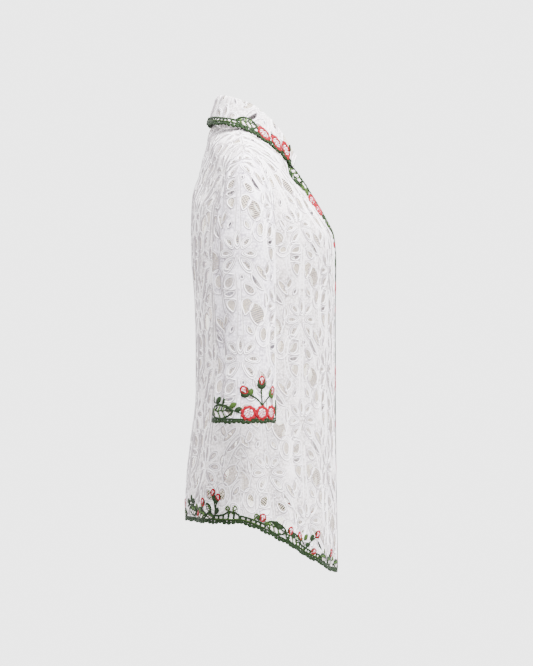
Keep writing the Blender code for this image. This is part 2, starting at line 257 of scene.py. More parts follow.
def row_down(share, angle, face):
    """Height of a row: rows crowd over the shoulder, and the last one is the hem."""
    upper = UNDERARM_DOWN * np.clip(share / UPPER_ROWS, 0.0, 1.0) ** UPPER_CROWDING
    lower = np.clip((share - UPPER_ROWS) / (1.0 - UPPER_ROWS), 0.0, 1.0)
    return blend(upper, hem_down(angle, face), lower)


def outer_angle(down, face):
    """The armhole edge above the underarm, and the side seam below it."""
    edge = ARM["front_x" if face < 0 else "back_x"](down)
    return np.where(down < UNDERARM_DOWN, angle_at(edge, down), QUARTER)


def front_inner_angle(down):
    """The neck edge down to the V's point, and the opening edge below it."""
    return angle_at(np.where(down < V_DOWN, NECK["edge_x"](down), CENTRE_GAP), down)


def back_neck_down(x):
    """The back neck's scoop below the shoulder line."""
    return BACK_NECK_DOWN * np.clip(1.0 - (x / NECK_HALF) ** 2, 0.0, 1.0)

# %% [markdown]
# ## Panels as fine grids
#
# Lace needs openings only a few millimetres wide, so each panel is laid out again as a grid of
# points about two millimetres apart. Every point also gets a flat address: how far across and how
# far down it would lie on the cloth before sewing. The lace is drawn flat, at one scale, and the
# address carries it onto the curved panel. That is how a printed or woven pattern stays even.

# %% Rows for the torso panels
UPPER_SHARE_ROWS = 108
LOWER_SHARE_ROWS = 206
FRONT_COLUMNS = 124
BACK_HALF_COLUMNS = 96


def panel_shares():
    """Shares of the rows: the upper and the lower part have rows of their own."""
    upper = np.linspace(0.0, UPPER_ROWS, UPPER_SHARE_ROWS + 1)
    lower = np.linspace(UPPER_ROWS, 1.0, LOWER_SHARE_ROWS + 1)
    return np.concatenate([upper, lower[1:]])[:, None]


def front_grid():
    """A front panel for the wearer's left: rows from the shoulder down, columns to the side."""
    share = panel_shares()
    across = np.linspace(0.0, 1.0, FRONT_COLUMNS + 1)[None, :]
    level = row_down(share, MID_TURN, -1)
    angle = blend(front_inner_angle(level), outer_angle(level, -1), across)
    return body_point(angle, row_down(share, angle, -1), -1), level


def back_grid():
    """The whole back panel: rows from the neck and shoulders down, columns from right to left."""
    share = panel_shares()
    across = np.linspace(-1.0, 1.0, 2 * BACK_HALF_COLUMNS + 1)[None, :]
    size = np.abs(across)
    angle = outer_angle(row_down(share, MID_TURN, 1), 1) * size
    top_x = body_point(outer_angle(0.0, 1) * size, 0.0, 1)[..., 0]
    scoop = back_neck_down(top_x) * (1.0 - ease(share / UPPER_ROWS))
    points = body_point(angle, row_down(share, angle, 1) + scoop, 1)
    points[..., 0] *= np.sign(across)
    return points

# %% Rows for the sleeves
SLEEVE_CAP_ROWS = 62
SLEEVE_TUBE_ROWS = 102
SLEEVE_AROUND = 132
EDGE_STEPS = 200


def armhole_loop():
    """The armhole edge of both panels with its turn round the sleeve, 0 at the shoulder tip."""
    down = UNDERARM_DOWN * np.linspace(0.0, 1.0, EDGE_STEPS) ** UPPER_CROWDING
    loop, turns = [], []
    for face in (-1, 1):
        edge = body_point(outer_angle(down - 1e-9, face), down, face)
        run = run_of(edge)
        turn = math.pi * run / run[-1]
        loop.append(edge if face < 0 else edge[::-1])
        turns.append(turn if face < 0 else 2.0 * math.pi - turn[::-1])
    return np.concatenate(loop), np.concatenate(turns)


def sleeve_ring(down, turn):
    """Points of an oval ring: turn 0 is the outer side, and a quarter turn is the front."""
    x = SLEEVE["x"](down) + SLEEVE["across"](down) * np.cos(turn)
    y = SLEEVE["y"](down) - SLEEVE["deep"](down) * np.sin(turn)
    return np.stack([x, y, np.full_like(turn, -down)], -1)


def sleeve_grid():
    """The left sleeve: rows from the armhole to the cuff, columns once round from the underarm."""
    edge, edge_turn = armhole_loop()
    turn = np.linspace(-math.pi, math.pi, SLEEVE_AROUND + 1)
    seat = np.mod(turn, 2.0 * math.pi)
    start = read_line(seat, edge_turn, edge) + (ARMHOLE_GAP, 0.0, 0.0)
    top_down, cuff_down = SLEEVE_RINGS[0][0], SLEEVE_RINGS[-1][0]
    top = sleeve_ring(top_down, turn)
    over = (0.5 + 0.5 * np.cos(turn))[:, None]
    spring = start + blend(UNDERARM_SPRING, CAP_SPRING, over) * np.array((1.0, 0.0, -CAP_DROOP))
    fall = top + blend(UNDERARM_FALL, CAP_FALL, over) * np.array((0.0, 0.0, 1.0))
    rows = []
    for t in np.linspace(0.0, 1.0, SLEEVE_CAP_ROWS + 1)[:-1]:
        rows.append(cubic(start, spring, fall, top, t))
    for down in np.linspace(top_down, cuff_down, SLEEVE_TUBE_ROWS + 1):
        rows.append(sleeve_ring(down, turn))
    return np.array(rows)

# %% Rows for the collar
COLLAR_HALF_COLUMNS = 92
COLLAR_ROWS = 46
CURVE_SAMPLES = 60


def neck_seam(turn):
    """Points along the neck edge from the middle of the back to where the collar ends."""
    x = NECK_HALF * np.linspace(0.0, 1.0, CURVE_SAMPLES)
    behind = body_point(angle_at(x, back_neck_down(x)), back_neck_down(x), 1)
    down = COLLAR_END_DOWN * np.linspace(0.0, 1.0, CURVE_SAMPLES) ** UPPER_CROWDING
    ahead = body_point(front_inner_angle(down), down, -1)
    edge = np.concatenate([behind, ahead])
    run = run_of(edge)
    return read_line(turn * run[-1], run, edge)


def collar_section(turn, across):
    """A row of the collar: across runs 0 to 1 up the stand and 1 to 2 down the fall."""
    foot = neck_seam(turn) + (0.0, 0.0, STAND_LIFT)
    roll = np.stack([COLLAR[f"roll_{k}"](turn) for k in "xyz"], -1)
    edge = np.stack([COLLAR[f"edge_{k}"](turn) for k in "xyz"], -1)
    side = (edge - foot) * (1.0, 1.0, 0.0)
    side = side / np.linalg.norm(side, axis=-1, keepdims=True) * ROLL_WIDTH
    low, high = (foot, blend(foot, roll, ROLL_LEAN)), (roll - side, roll)
    if across > 1.0:
        low, high = (edge, blend(edge, roll, ROLL_LEAN)), (roll + side, roll)
        across = 2.0 - across
    return cubic(*low, *high, across)


def collar_grid():
    """The collar: rows from its seam over the roll to its edge, columns from right to left."""
    turn = np.linspace(-1.0, 1.0, 2 * COLLAR_HALF_COLUMNS + 1)
    rows = [collar_section(np.abs(turn), t) for t in np.linspace(0.0, 2.0, COLLAR_ROWS + 1)]
    grid = np.array(rows)
    grid[..., 0] *= np.where(turn < 0.0, -1.0, 1.0)
    return grid

# %% [markdown]
# ## Soft folds
#
# Cloth that hangs is never smooth. Here the folds are given one by one, as long soft troughs and
# ridges that fade in and out: a few down the skirt of the blouse that deepen to the hem, and
# drag lines down the sleeve's back edge and across the elbow. Each is a row of a table: where
# its middle is, how it leans, how long and how wide it is, and how deep.

# %% Fold tables, in metres on the flat cloth
# Columns: across, down, lean, half length, half width, height.
FRONT_FOLDS = (
    (0.060, 0.600, 0.04, 0.170, 0.016, 0.0030),
    (0.105, 0.640, -0.03, 0.150, 0.018, -0.0034),
    (0.152, 0.560, 0.05, 0.200, 0.017, 0.0036),
    (0.196, 0.610, -0.02, 0.170, 0.015, -0.0032),
    (0.232, 0.520, 0.03, 0.240, 0.016, 0.0032),
    (0.262, 0.570, 0.02, 0.200, 0.012, -0.0028),
    (0.176, 0.330, 0.25, 0.090, 0.014, 0.0020),
    (0.215, 0.300, 0.35, 0.080, 0.011, -0.0022),
    (0.118, 0.230, -0.30, 0.080, 0.016, 0.0016),
)
BACK_FOLDS = (
    (0.030, 0.560, 0.03, 0.200, 0.018, 0.0030),
    (-0.042, 0.520, -0.04, 0.220, 0.020, -0.0032),
    (0.082, 0.600, -0.03, 0.170, 0.016, -0.0034),
    (-0.105, 0.590, 0.03, 0.180, 0.017, 0.0034),
    (0.138, 0.540, 0.04, 0.200, 0.016, 0.0036),
    (-0.152, 0.560, -0.03, 0.190, 0.015, -0.0030),
    (0.184, 0.600, 0.00, 0.160, 0.013, -0.0030),
    (-0.190, 0.520, 0.03, 0.220, 0.014, 0.0032),
    (0.090, 0.250, 0.35, 0.080, 0.014, -0.0020),
    (-0.100, 0.260, -0.35, 0.080, 0.014, -0.0020),
)
SLEEVE_FOLDS = (
    (-0.056, 0.300, 0.02, 0.150, 0.0065, 0.0032),
    (-0.043, 0.320, 0.03, 0.160, 0.0060, -0.0034),
    (0.050, 0.260, -0.06, 0.110, 0.0080, -0.0020),
    (0.006, 0.410, 0.10, 0.070, 0.0110, 0.0018),
    (0.092, 0.330, 0.05, 0.120, 0.0090, 0.0024),
    (-0.100, 0.360, -0.04, 0.110, 0.0090, -0.0024),
)


def fold_height(flat, folds):
    """How far the folds of a table move each point of the cloth out or in."""
    height = np.zeros(flat.shape[:-1])
    for across, down, lean, half_length, half_width, rise in folds:
        along = (flat[..., 1] - down) / half_length
        aside = (flat[..., 0] - across - lean * (flat[..., 1] - down)) / half_width
        height += rise * np.exp(-(along**2) - aside**2)
    return height

# %% [markdown]
# ## From the flat cloth to the blouse
#
# A panel here is a grid of points, the directions straight out of it, and the flat addresses.
# Two helpers go with it. One finds where a flat point lies in the grid, by stepping towards it a
# few times; the other reads the grid there and moves out by a given height.

# %% Panel helpers
TINY = 1e-12


def unit(vectors):
    """The same directions, each of length 1."""
    return vectors / np.maximum(np.linalg.norm(vectors, axis=-1, keepdims=True), TINY)


def along_lines(lines, closed):
    """Directions along rows of points that may be closed into rings."""
    if closed:
        return np.roll(lines, -1, axis=1) - np.roll(lines, 1, axis=1)
    return np.gradient(lines, axis=1)


def directions_out(grid, flip):
    """Directions square to a grid of points."""
    return flip * unit(np.cross(np.gradient(grid, axis=0), np.gradient(grid, axis=1)))


def read_grid(values, place):
    """Values of a grid at fractional rows and columns, going on in a straight line outside."""
    rows, columns = values.shape[:2]
    j = np.clip(np.floor(place[:, 0]).astype(int), 0, rows - 2)
    i = np.clip(np.floor(place[:, 1]).astype(int), 0, columns - 2)
    t, s = (place[:, 0] - j)[:, None], (place[:, 1] - i)[:, None]
    top = blend(values[j, i], values[j, i + 1], s)
    low = blend(values[j + 1, i], values[j + 1, i + 1], s)
    return blend(top, low, t)


LOCATE_STEPS = 14
LOCATE_BATCH = 4000
COARSE = 8
OVERRUN = 6.0


def locate(panel, flat):
    """Fractional rows and columns of flat points, and how far each is missed."""
    address = panel["flat"]
    coarse = address[::COARSE, ::COARSE]
    target = flat[:, None, :]
    lists = coarse.reshape(1, -1, 2)
    nearest = np.empty(len(flat), int)
    for k in range(0, len(flat), LOCATE_BATCH):
        gap = target[k:k + LOCATE_BATCH] - lists
        nearest[k:k + LOCATE_BATCH] = np.argmin((gap**2).sum(-1), axis=1)
    place = np.stack(np.divmod(nearest, coarse.shape[1]), -1).astype(float) * COARSE
    rows, columns = address.shape[:2]
    for _ in range(LOCATE_STEPS):
        here = read_grid(address, place)
        down = read_grid(address, place + (0.5, 0.0)) - read_grid(address, place - (0.5, 0.0))
        along = read_grid(address, place + (0.0, 0.5)) - read_grid(address, place - (0.0, 0.5))
        gap = flat - here
        area = down[:, 0] * along[:, 1] - down[:, 1] * along[:, 0]
        area = np.where(np.abs(area) < TINY, TINY, area)
        move = np.stack([gap[:, 0] * along[:, 1] - gap[:, 1] * along[:, 0],
                         gap[:, 1] * down[:, 0] - gap[:, 0] * down[:, 1]], -1) / area[:, None]
        place = place + np.clip(move, -COARSE, COARSE)
        place = np.clip(place, -OVERRUN, (rows - 1.0 + OVERRUN, columns - 1.0 + OVERRUN))
    return place, np.linalg.norm(flat - read_grid(address, place), axis=1)


def raise_at(panel, place, height):
    """Points of the blouse at places of a panel's grid, moved out by a height."""
    return read_grid(panel["points"], place) + read_grid(panel["out"], place) * height[:, None]


def run_along(points, axis, parts=(0, 1, 2)):
    """Distance along a grid's rows or columns, counting only some of the directions."""
    step = np.linalg.norm(np.diff(points[..., list(parts)], axis=axis), axis=-1)
    first = np.zeros_like(np.take(step, [0], axis=axis))
    return np.concatenate([first, np.cumsum(step, axis=axis)], axis=axis)

# %% Lay out each panel
def make_panel(grid, flip, flat, folds, extra=0.0):
    """A panel with its folds in it, and any extra height."""
    out = directions_out(grid, flip)
    points = grid + out * (fold_height(flat, folds) + extra)[..., None]
    return {"points": points, "out": directions_out(points, flip), "flat": flat}


BAND_WIDTH = 0.024
BAND_FADE = 0.080
BAND_FALL = ((0.080, 0.115, 0.160, 0.250, 0.320), (0.0, 0.0110, 0.0085, 0.0035, 0.0015))


def lay_front():
    """The left front; its flat address runs from the middle of the front to the side."""
    grid, level = front_grid()
    x = np.linspace(0.0, 1.0, CURVE_SAMPLES) * grid[:, :1, 0]
    lead = run_along(body_point(angle_at(x, level), level, -1), 1)[:, -1:]
    across = lead + run_along(grid, 1)
    down = run_along(grid, 0, (1, 2))
    down = down - down[UPPER_SHARE_ROWS] + UNDERARM_DOWN
    inward = run_along(grid, 1)
    behind = ease(inward / BAND_WIDTH) * (1.0 - ease((inward - BAND_WIDTH) / BAND_FADE))
    fall = np.interp(run_along(grid, 0)[:, :1], *BAND_FALL)
    return make_panel(grid, 1.0, np.stack([across, down], -1), FRONT_FOLDS, -fall * behind)


def lay_back():
    """The back; its flat address runs both ways from the middle."""
    grid = back_grid()
    across = run_along(grid, 1)
    across = across - across[:, BACK_HALF_COLUMNS : BACK_HALF_COLUMNS + 1]
    down = run_along(grid, 0, (1, 2))
    down = down - down[UPPER_SHARE_ROWS] + UNDERARM_DOWN
    return make_panel(grid, -1.0, np.stack([across, down], -1), BACK_FOLDS)


def lay_sleeve():
    """The left sleeve; its flat address starts at the outer line and is positive to the front."""
    grid = sleeve_grid()
    across = run_along(grid, 1)
    across = across - across[:, SLEEVE_AROUND // 2 : SLEEVE_AROUND // 2 + 1]
    down = run_along(grid, 0)
    down = down - down[SLEEVE_CAP_ROWS] + SLEEVE_RINGS[0][0]
    return make_panel(grid, -1.0, np.stack([across, down], -1), SLEEVE_FOLDS)


def lay_collar():
    """The collar; its flat address runs both ways from the middle of the back."""
    grid = collar_grid()
    across = run_along(grid[COLLAR_ROWS // 2 : COLLAR_ROWS // 2 + 1], 1)
    across = np.repeat(across - across[:, COLLAR_HALF_COLUMNS : COLLAR_HALF_COLUMNS + 1],
                       COLLAR_ROWS + 1, axis=0)
    down = run_along(grid, 0)
    return make_panel(grid, -1.0, np.stack([across, down], -1), ())


def mirror_panel(panel):
    """The same panel on the wearer's right."""
    flip = np.array((-1.0, 1.0, 1.0))
    return {"points": panel["points"] * flip, "out": panel["out"] * flip, "flat": panel["flat"]}


PANELS = {"front_left": lay_front(), "back": lay_back(), "sleeve_left": lay_sleeve(),
          "collar": lay_collar()}
PANELS["front_right"] = mirror_panel(PANELS["front_left"])
PANELS["sleeve_right"] = mirror_panel(PANELS["sleeve_left"])
for name, panel in PANELS.items():
    flat = panel["flat"]
    print(name, panel["points"].shape[:2], "flat", flat.min(axis=(0, 1)).round(3),
          flat.max(axis=(0, 1)).round(3), "out y", round(float(panel["out"][..., 1].mean()), 2))

# %% [markdown]
# ## The lace motif
#
# Guipure lace of this kind repeats one motif: a flower with seven petals, a stem below it, and
# curved tapes that leave windows between them. The columns of motifs are set half a motif lower
# than their neighbours. One outline rule draws every petal and window, from a row of a table: its
# middle, length, width and turn, and how pointed, tapered and bent it is. Sizes are millimetres,
# measured across and down from the middle of the flower.

# %% Tables of the motif
MM = 0.001
COLUMN_STEP = 0.074
REPEAT_DOWN = 0.157
# Columns: across, down, length, width, turn, point, taper, bend.
PETALS = (
    (0.0, -17.5, 27.0, 10.5, 90.0, 0.3, 0.2, 0.0),
    (-12.5, -13.5, 22.0, 11.5, 50.0, 0.2, -0.2, 1.0),
    (12.5, -13.5, 22.0, 11.5, 130.0, 0.2, -0.2, -1.0),
    (-18.0, 2.5, 23.0, 12.0, 176.0, 0.2, 0.2, -1.0),
    (18.0, 2.5, 23.0, 12.0, 4.0, 0.2, 0.2, 1.0),
    (-13.5, 18.5, 30.0, 15.0, 128.0, 0.2, 0.2, -2.0),
    (13.5, 18.5, 30.0, 15.0, 52.0, 0.2, 0.2, 2.0),
)
OPEN, LADDER, NET = 0, 1, 2
WINDOWS = (
    ((-14.5, 46.0, 20.0, 13.0, 130.0, 0.3, 0.2, 0.0), LADDER),
    ((-15.0, 63.5, 18.0, 7.0, 170.0, 0.4, 0.0, 1.5), OPEN),
    ((-12.0, 81.0, 18.0, 13.0, 74.0, 0.1, -0.5, 0.0), NET),
    ((6.0, 38.0, 6.0, 4.5, 90.0, 0.0, 0.0, 0.0), OPEN),
    ((15.5, 55.5, 19.0, 10.5, 48.0, 0.3, 0.3, 0.0), LADDER),
    ((27.5, 46.5, 29.0, 7.0, 54.0, 0.3, 0.0, -2.5), OPEN),
    ((37.5, 31.0, 27.0, 8.5, 52.0, 0.3, 0.0, 0.0), NET),
    ((11.0, 82.0, 25.0, 14.0, 103.0, 0.1, -0.6, 0.0), NET),
    ((27.0, 93.0, 34.0, 22.0, 72.0, 0.1, 0.0, 1.0), LADDER),
    ((36.0, 123.0, 20.0, 11.5, 96.0, 0.1, 0.0, 0.0), NET),
    ((-25.0, 104.0, 22.0, 8.0, 118.0, 0.4, 0.0, 2.0), LADDER),
    ((14.0, 117.0, 14.0, 6.5, 60.0, 0.4, 0.0, -1.0), NET),
    ((44.5, 71.0, 19.0, 7.0, 96.0, 0.4, 0.0, 2.0), LADDER),
    ((-13.0, 116.0, 10.0, 5.0, 120.0, 0.3, 0.0, 0.0), OPEN),
)
PETAL_WINDOWS = (
    (0.0, -18.0, 16.0, 4.8, 90.0, 0.2, 0.0, 0.0),
    (-13.0, -14.0, 12.5, 5.2, 50.0, 0.2, 0.0, 0.5),
    (13.0, -14.0, 12.5, 5.2, 130.0, 0.2, 0.0, -0.5),
    (-19.0, 2.5, 13.0, 5.2, 176.0, 0.2, 0.0, -0.5),
    (19.0, 2.5, 13.0, 5.2, 4.0, 0.2, 0.0, 0.5),
    (-15.0, 20.0, 17.0, 5.0, 128.0, 0.3, 0.0, -3.0),
    (15.0, 20.0, 17.0, 5.0, 52.0, 0.3, 0.0, 3.0),
)
RINGS = ((36.0, 123.0, 38.0, 27.0, 96.0, 0.1, 0.0, 0.0),)
RING_WINDOW = 9
TAPE_LINES = (
    ((-3.6, 33.0), (-3.0, 60.0), (-3.2, 90.0), (-4.6, 125.0)),
    ((3.6, 33.0), (3.0, 60.0), (3.2, 90.0), (4.6, 125.0)),
    ((-6.0, 34.0), (-19.0, 33.0), (-26.0, 45.0), (-27.0, 63.0), (-22.0, 84.0), (-9.0, 98.0)),
    ((-10.0, 28.0), (-24.0, 27.0), (-32.0, 44.0), (-32.5, 66.0), (-27.0, 90.0), (-12.0, 106.0)),
    ((-4.0, 72.0), (-10.0, 70.5), (-18.0, 70.0), (-26.0, 70.5)),
    ((-4.0, 55.5), (-10.0, 57.0), (-18.0, 57.0), (-26.0, 55.0)),
    ((4.0, 70.0), (12.0, 68.5), (20.0, 67.0), (27.0, 62.0)),
    ((8.0, 33.0), (18.0, 42.0), (27.0, 56.0), (32.0, 72.0), (33.0, 76.0)),
    ((20.0, 26.0), (30.0, 35.0), (38.0, 48.0), (42.0, 62.0), (43.0, 86.0), (36.0, 102.0)),
    ((4.0, 101.0), (12.0, 100.0), (19.0, 108.0), (22.0, 120.0), (20.0, 132.0)),
)

# %% Draw the outlines
OUTLINE_POINTS = 22


def turned_by(x, y, turn):
    """Points with the given x and y, turned by so many degrees."""
    c, s = math.cos(math.radians(turn)), math.sin(math.radians(turn))
    return np.stack([x * c - y * s, x * s + y * c], -1)


def outline(shape, scale=1.0, grow=0.0):
    """Closed outline of a petal or window, in metres; grow moves it out by so many millimetres."""
    across, down, length, width, turn, point, taper, bend = shape
    t = np.linspace(0.0, 2.0 * math.pi, OUTLINE_POINTS, endpoint=False)
    half, wide = length * scale / 2.0 + grow, width * scale / 2.0 + grow
    along = half * np.cos(t)
    aside = wide * np.sin(t) * np.abs(np.sin(t)) ** point * (1.0 + taper * np.cos(t))
    aside = aside + bend * scale * np.cos(t) ** 2
    return (turned_by(along, aside, turn) + (across, down)) * MM


BAR_PITCH = 3.2
BAR_POINTS = 5
BAR_SAG = 0.5


def bars_across(edge, direction):
    """Bars at an even pitch across an outline, each bowed a little."""
    c, s = math.cos(direction), math.sin(direction)
    turned = edge @ np.array(((c, -s), (s, c)))
    low, high = turned[:, 1].min(), turned[:, 1].max()
    count = max(1, round((high - low) / (BAR_PITCH * MM)) - 1)
    after = np.roll(turned, -1, axis=0)
    bars = []
    for level in np.linspace(low, high, count + 2)[1:-1]:
        cut = (turned[:, 1] - level) * (after[:, 1] - level) < 0.0
        share = (level - turned[cut, 1]) / (after[cut, 1] - turned[cut, 1])
        ends = np.sort(turned[cut, 0] + share * (after[cut, 0] - turned[cut, 0]))
        if len(ends) < 2:
            continue
        t = np.linspace(0.0, 1.0, BAR_POINTS)
        bow = BAR_SAG * MM * 4.0 * t * (1.0 - t)
        bar = np.stack([blend(ends[0], ends[-1], t), level + bow], -1)
        bars.append(bar @ np.array(((c, s), (-s, c))))
    return bars


def motif_bars():
    """The bars of every window that has them: a ladder has one direction, a net has two."""
    bars = []
    for shape, fill in WINDOWS + tuple((petal, LADDER) for petal in PETAL_WINDOWS):
        turn = math.radians(shape[4])
        directions = {OPEN: (), LADDER: (turn + QUARTER,), NET: (turn + MID_TURN, turn - MID_TURN)}
        for direction in directions[fill]:
            bars += bars_across(outline(shape), direction)
    return np.array(bars)


CORD_OUT = 0.5
PETAL_INNER = 0.68


def motif_cords():
    """Cords round every petal, inside it, round every window, and round the tape rings."""
    cords = [outline(petal) for petal in PETALS]
    cords += [outline(petal, PETAL_INNER) for petal in PETALS]
    cords += [outline(shape, 1.0, CORD_OUT) for shape, _ in WINDOWS]
    cords += [outline(ring) for ring in RINGS]
    return np.array(cords)


LINE_POINTS = 18


def smooth_line(knots):
    """A smooth line through a few points, each pair joined by a cubic that keeps the slopes."""
    knots = np.array(knots, float)
    slope = np.gradient(knots, axis=0)
    place = np.linspace(0.0, len(knots) - 1.0, LINE_POINTS)
    k = np.minimum(place.astype(int), len(knots) - 2)
    t = (place - k)[:, None]
    first = knots[k] * (1 + 2 * t) * (1 - t) ** 2 + slope[k] * t * (1 - t) ** 2
    return first + knots[k + 1] * t * t * (3 - 2 * t) + slope[k + 1] * t * t * (t - 1)


def motif_lines():
    """The cords along the stem and the curved tapes."""
    return np.array([smooth_line(line) for line in TAPE_LINES]) * MM


MOTIF = {"windows": np.array([outline(s) for s, _ in WINDOWS] + [outline(s) for s in PETAL_WINDOWS]),
         "rings": np.array([outline(RINGS[0]), outline(WINDOWS[RING_WINDOW][0])]),
         "bars": motif_bars(), "cords": motif_cords(), "lines": motif_lines()}
print("motif:", {name: len(part) for name, part in MOTIF.items()})

# %% [markdown]
# ## Cutting the lace
#
# A height map of "distance to the nearest opening" is worked out on the panel's grid, positive on
# the tape and negative inside an opening. Each small triangle is then kept, dropped or cut where
# the map crosses zero. This gives smooth openings without a Boolean, and it takes a second.
# A narrow band along every edge stays whole, as a seam allowance does.

# %% Place the motif on a panel
PATTERNS = {"front": (0.186, 0.308, -1.0), "back": (0.037, 0.300, 1.0),
            "sleeve": (-0.009, 0.211, 1.0), "collar": (0.020, 0.020, 1.0)}


COLUMNS_REACH = 9
ROWS_REACH = 7


def kind_of(name):
    """The panel's kind, without its side."""
    return name.split("_")[0]


def motif_places(name, panel):
    """Middles of the flowers whose motifs reach the panel."""
    across, down, _ = PATTERNS[kind_of(name)]
    low = panel["flat"].min(axis=(0, 1)) - (COLUMN_STEP, REPEAT_DOWN)
    high = panel["flat"].max(axis=(0, 1)) + (COLUMN_STEP, REPEAT_DOWN / 2.0)
    places = []
    for k in range(-COLUMNS_REACH, COLUMNS_REACH + 1):
        for m in range(-ROWS_REACH, ROWS_REACH + 1):
            spot = (across + k * COLUMN_STEP, down + (m + 0.5 * (k % 2)) * REPEAT_DOWN)
            if low[0] < spot[0] < high[0] and low[1] < spot[1] < high[1]:
                places.append(spot)
    return np.array(places)


def spread(name, panel, part):
    """A part of the motif at every place, as lines of flat points."""
    facing = np.array((PATTERNS[kind_of(name)][2], 1.0))
    places = motif_places(name, panel)
    lines = places[:, None, None, :] + (MOTIF[part] * facing)[None]
    return lines.reshape(-1, *MOTIF[part].shape[1:])


SEAM_BAND = 0.0035
FAR = 0.02
NEAR = 0.004


def edge_distance(panel):
    """Distance on the flat cloth from each grid point to the panel's nearest edge."""
    flat = panel["flat"]
    sides = [np.abs(flat[..., 1] - flat[:1, :, 1]), np.abs(flat[..., 1] - flat[-1:, :, 1]),
             np.abs(flat[..., 0] - flat[:, :1, 0]), np.abs(flat[..., 0] - flat[:, -1:, 0])]
    return np.min(sides, axis=0)


def distance_to(points, edge):
    """Signed distance from points to a closed outline, negative inside."""
    a, b = edge[None], np.roll(edge, -1, axis=0)[None]
    p = points[:, None]
    along = b - a
    share = np.clip(((p - a) * along).sum(-1) / (along**2).sum(-1), 0.0, 1.0)
    gap = np.linalg.norm(p - a - share[..., None] * along, axis=-1).min(axis=1)
    above = (a[..., 1] > p[..., 1]) != (b[..., 1] > p[..., 1])
    rise = np.where(along[..., 1] == 0.0, 1.0, along[..., 1])
    meets = a[..., 0] + (p[..., 1] - a[..., 1]) / rise * along[..., 0]
    inside = (above & (p[..., 0] < meets)).sum(axis=1) % 2 == 1
    return np.where(inside, -gap, gap)


def opening_map(name, panel):
    """Distance to the nearest opening at every grid point, negative inside it."""
    flat = panel["flat"].reshape(-1, 2)
    field = np.full(len(flat), FAR)
    for edge in spread(name, panel, "windows"):
        near = np.all((flat > edge.min(axis=0) - NEAR) & (flat < edge.max(axis=0) + NEAR), axis=1)
        if near.any():
            field[near] = np.minimum(field[near], distance_to(flat[near], edge))
    for outer, inner in spread(name, panel, "rings").reshape(-1, 2, OUTLINE_POINTS, 2):
        near = np.all((flat > outer.min(axis=0)) & (flat < outer.max(axis=0)), axis=1)
        if near.any():
            band = np.minimum(-distance_to(flat[near], outer), distance_to(flat[near], inner))
            field[near] = np.maximum(field[near], band)
    field = field.reshape(panel["flat"].shape[:2])
    return np.maximum(field, SEAM_BAND - edge_distance(panel))

# %% Cut the grid along the map
TAPE_RISE = 0.0005
TAPE_ROUND = 0.0022
CUT_MARGIN = 0.02


def cut_panel(panel, field):
    """Vertices, flat addresses and triangles of the tape between the openings."""
    rows, columns = field.shape
    index = np.arange(rows * columns).reshape(rows, columns)
    a, b = index[:-1, :-1].ravel(), index[:-1, 1:].ravel()
    d, c = index[1:, :-1].ravel(), index[1:, 1:].ravel()
    triangles = np.concatenate([np.stack([a, b, c], -1), np.stack([a, c, d], -1)])
    keep = field.ravel()[triangles] >= 0.0
    count = keep.sum(axis=1)
    whole = triangles[count == 3]
    cut = triangles[(count == 1) | (count == 2)]
    single = keep[(count == 1) | (count == 2)]
    alone = np.where(single.sum(axis=1) == 1, single.argmax(axis=1), (~single).argmax(axis=1))
    turn = (alone[:, None] + np.arange(3)) % 3
    cut = np.take_along_axis(cut, turn, axis=1)
    tip_kept = np.take_along_axis(single, turn, axis=1)[:, 0]
    pairs = np.concatenate([cut[:, [0, 1]], cut[:, [0, 2]]])
    low, high = pairs.min(axis=1), pairs.max(axis=1)
    keys, where = np.unique(low * rows * columns + high, return_inverse=True)
    low, high = keys // (rows * columns), keys % (rows * columns)
    values = field.ravel()
    share = np.clip(values[low] / (values[low] - values[high]), CUT_MARGIN, 1.0 - CUT_MARGIN)[:, None]
    crossing = where.reshape(2, -1) + rows * columns
    tips = np.stack([cut[:, 0], crossing[0], crossing[1]], -1)[tip_kept]
    rest = ~tip_kept
    quads = np.stack([crossing[0], cut[:, 1], cut[:, 2], crossing[1]], -1)[rest]
    faces = np.concatenate([whole, tips, quads[:, [0, 1, 2]], quads[:, [0, 2, 3]]])
    height = TAPE_RISE * (1.0 - np.exp(-np.maximum(values, 0.0) / TAPE_ROUND))
    points = panel["points"].reshape(-1, 3) + panel["out"].reshape(-1, 3) * height[:, None]
    flat = panel["flat"].reshape(-1, 2)
    points = np.concatenate([points, blend(points[low], points[high], share)])
    flat = np.concatenate([flat, blend(flat[low], flat[high], share)])
    used, faces = np.unique(faces, return_inverse=True)
    return points[used], flat[used], faces.reshape(-1, 3)

# %% [markdown]
# Meshes can be filled from arrays in one go, which is far quicker than adding faces one
# at a time. The flat address is kept as the UV map, so every piece is unwrapped as it was cut.

# %% Meshes from arrays
def build_mesh(name, points, faces, uv, materials, slots=None):
    """A mesh object from arrays of points and equal-sided faces."""
    mesh = bpy.data.meshes.new(name)
    sides = faces.shape[1]
    mesh.vertices.add(len(points))
    mesh.vertices.foreach_set("co", points.astype(np.float32).ravel())
    mesh.loops.add(faces.size)
    mesh.loops.foreach_set("vertex_index", faces.astype(np.int32).ravel())
    mesh.polygons.add(len(faces))
    mesh.polygons.foreach_set("loop_start", np.arange(0, faces.size, sides, dtype=np.int32))
    if slots is not None:
        mesh.polygons.foreach_set("material_index", slots.astype(np.int32))
    layer = mesh.uv_layers.new(name="OFBake")
    low = uv.min(axis=0)
    unit = (uv - low) / max((uv - low).max(), 1e-6)
    layer.data.foreach_set("uv", unit[faces.ravel()].astype(np.float32).ravel())
    mesh.update(calc_edges=True)
    mesh.validate()
    mesh.shade_smooth()
    for material in materials:
        mesh.materials.append(material)
    piece = bpy.data.objects.new(name, mesh)
    bpy.context.collection.objects.link(piece)
    return piece


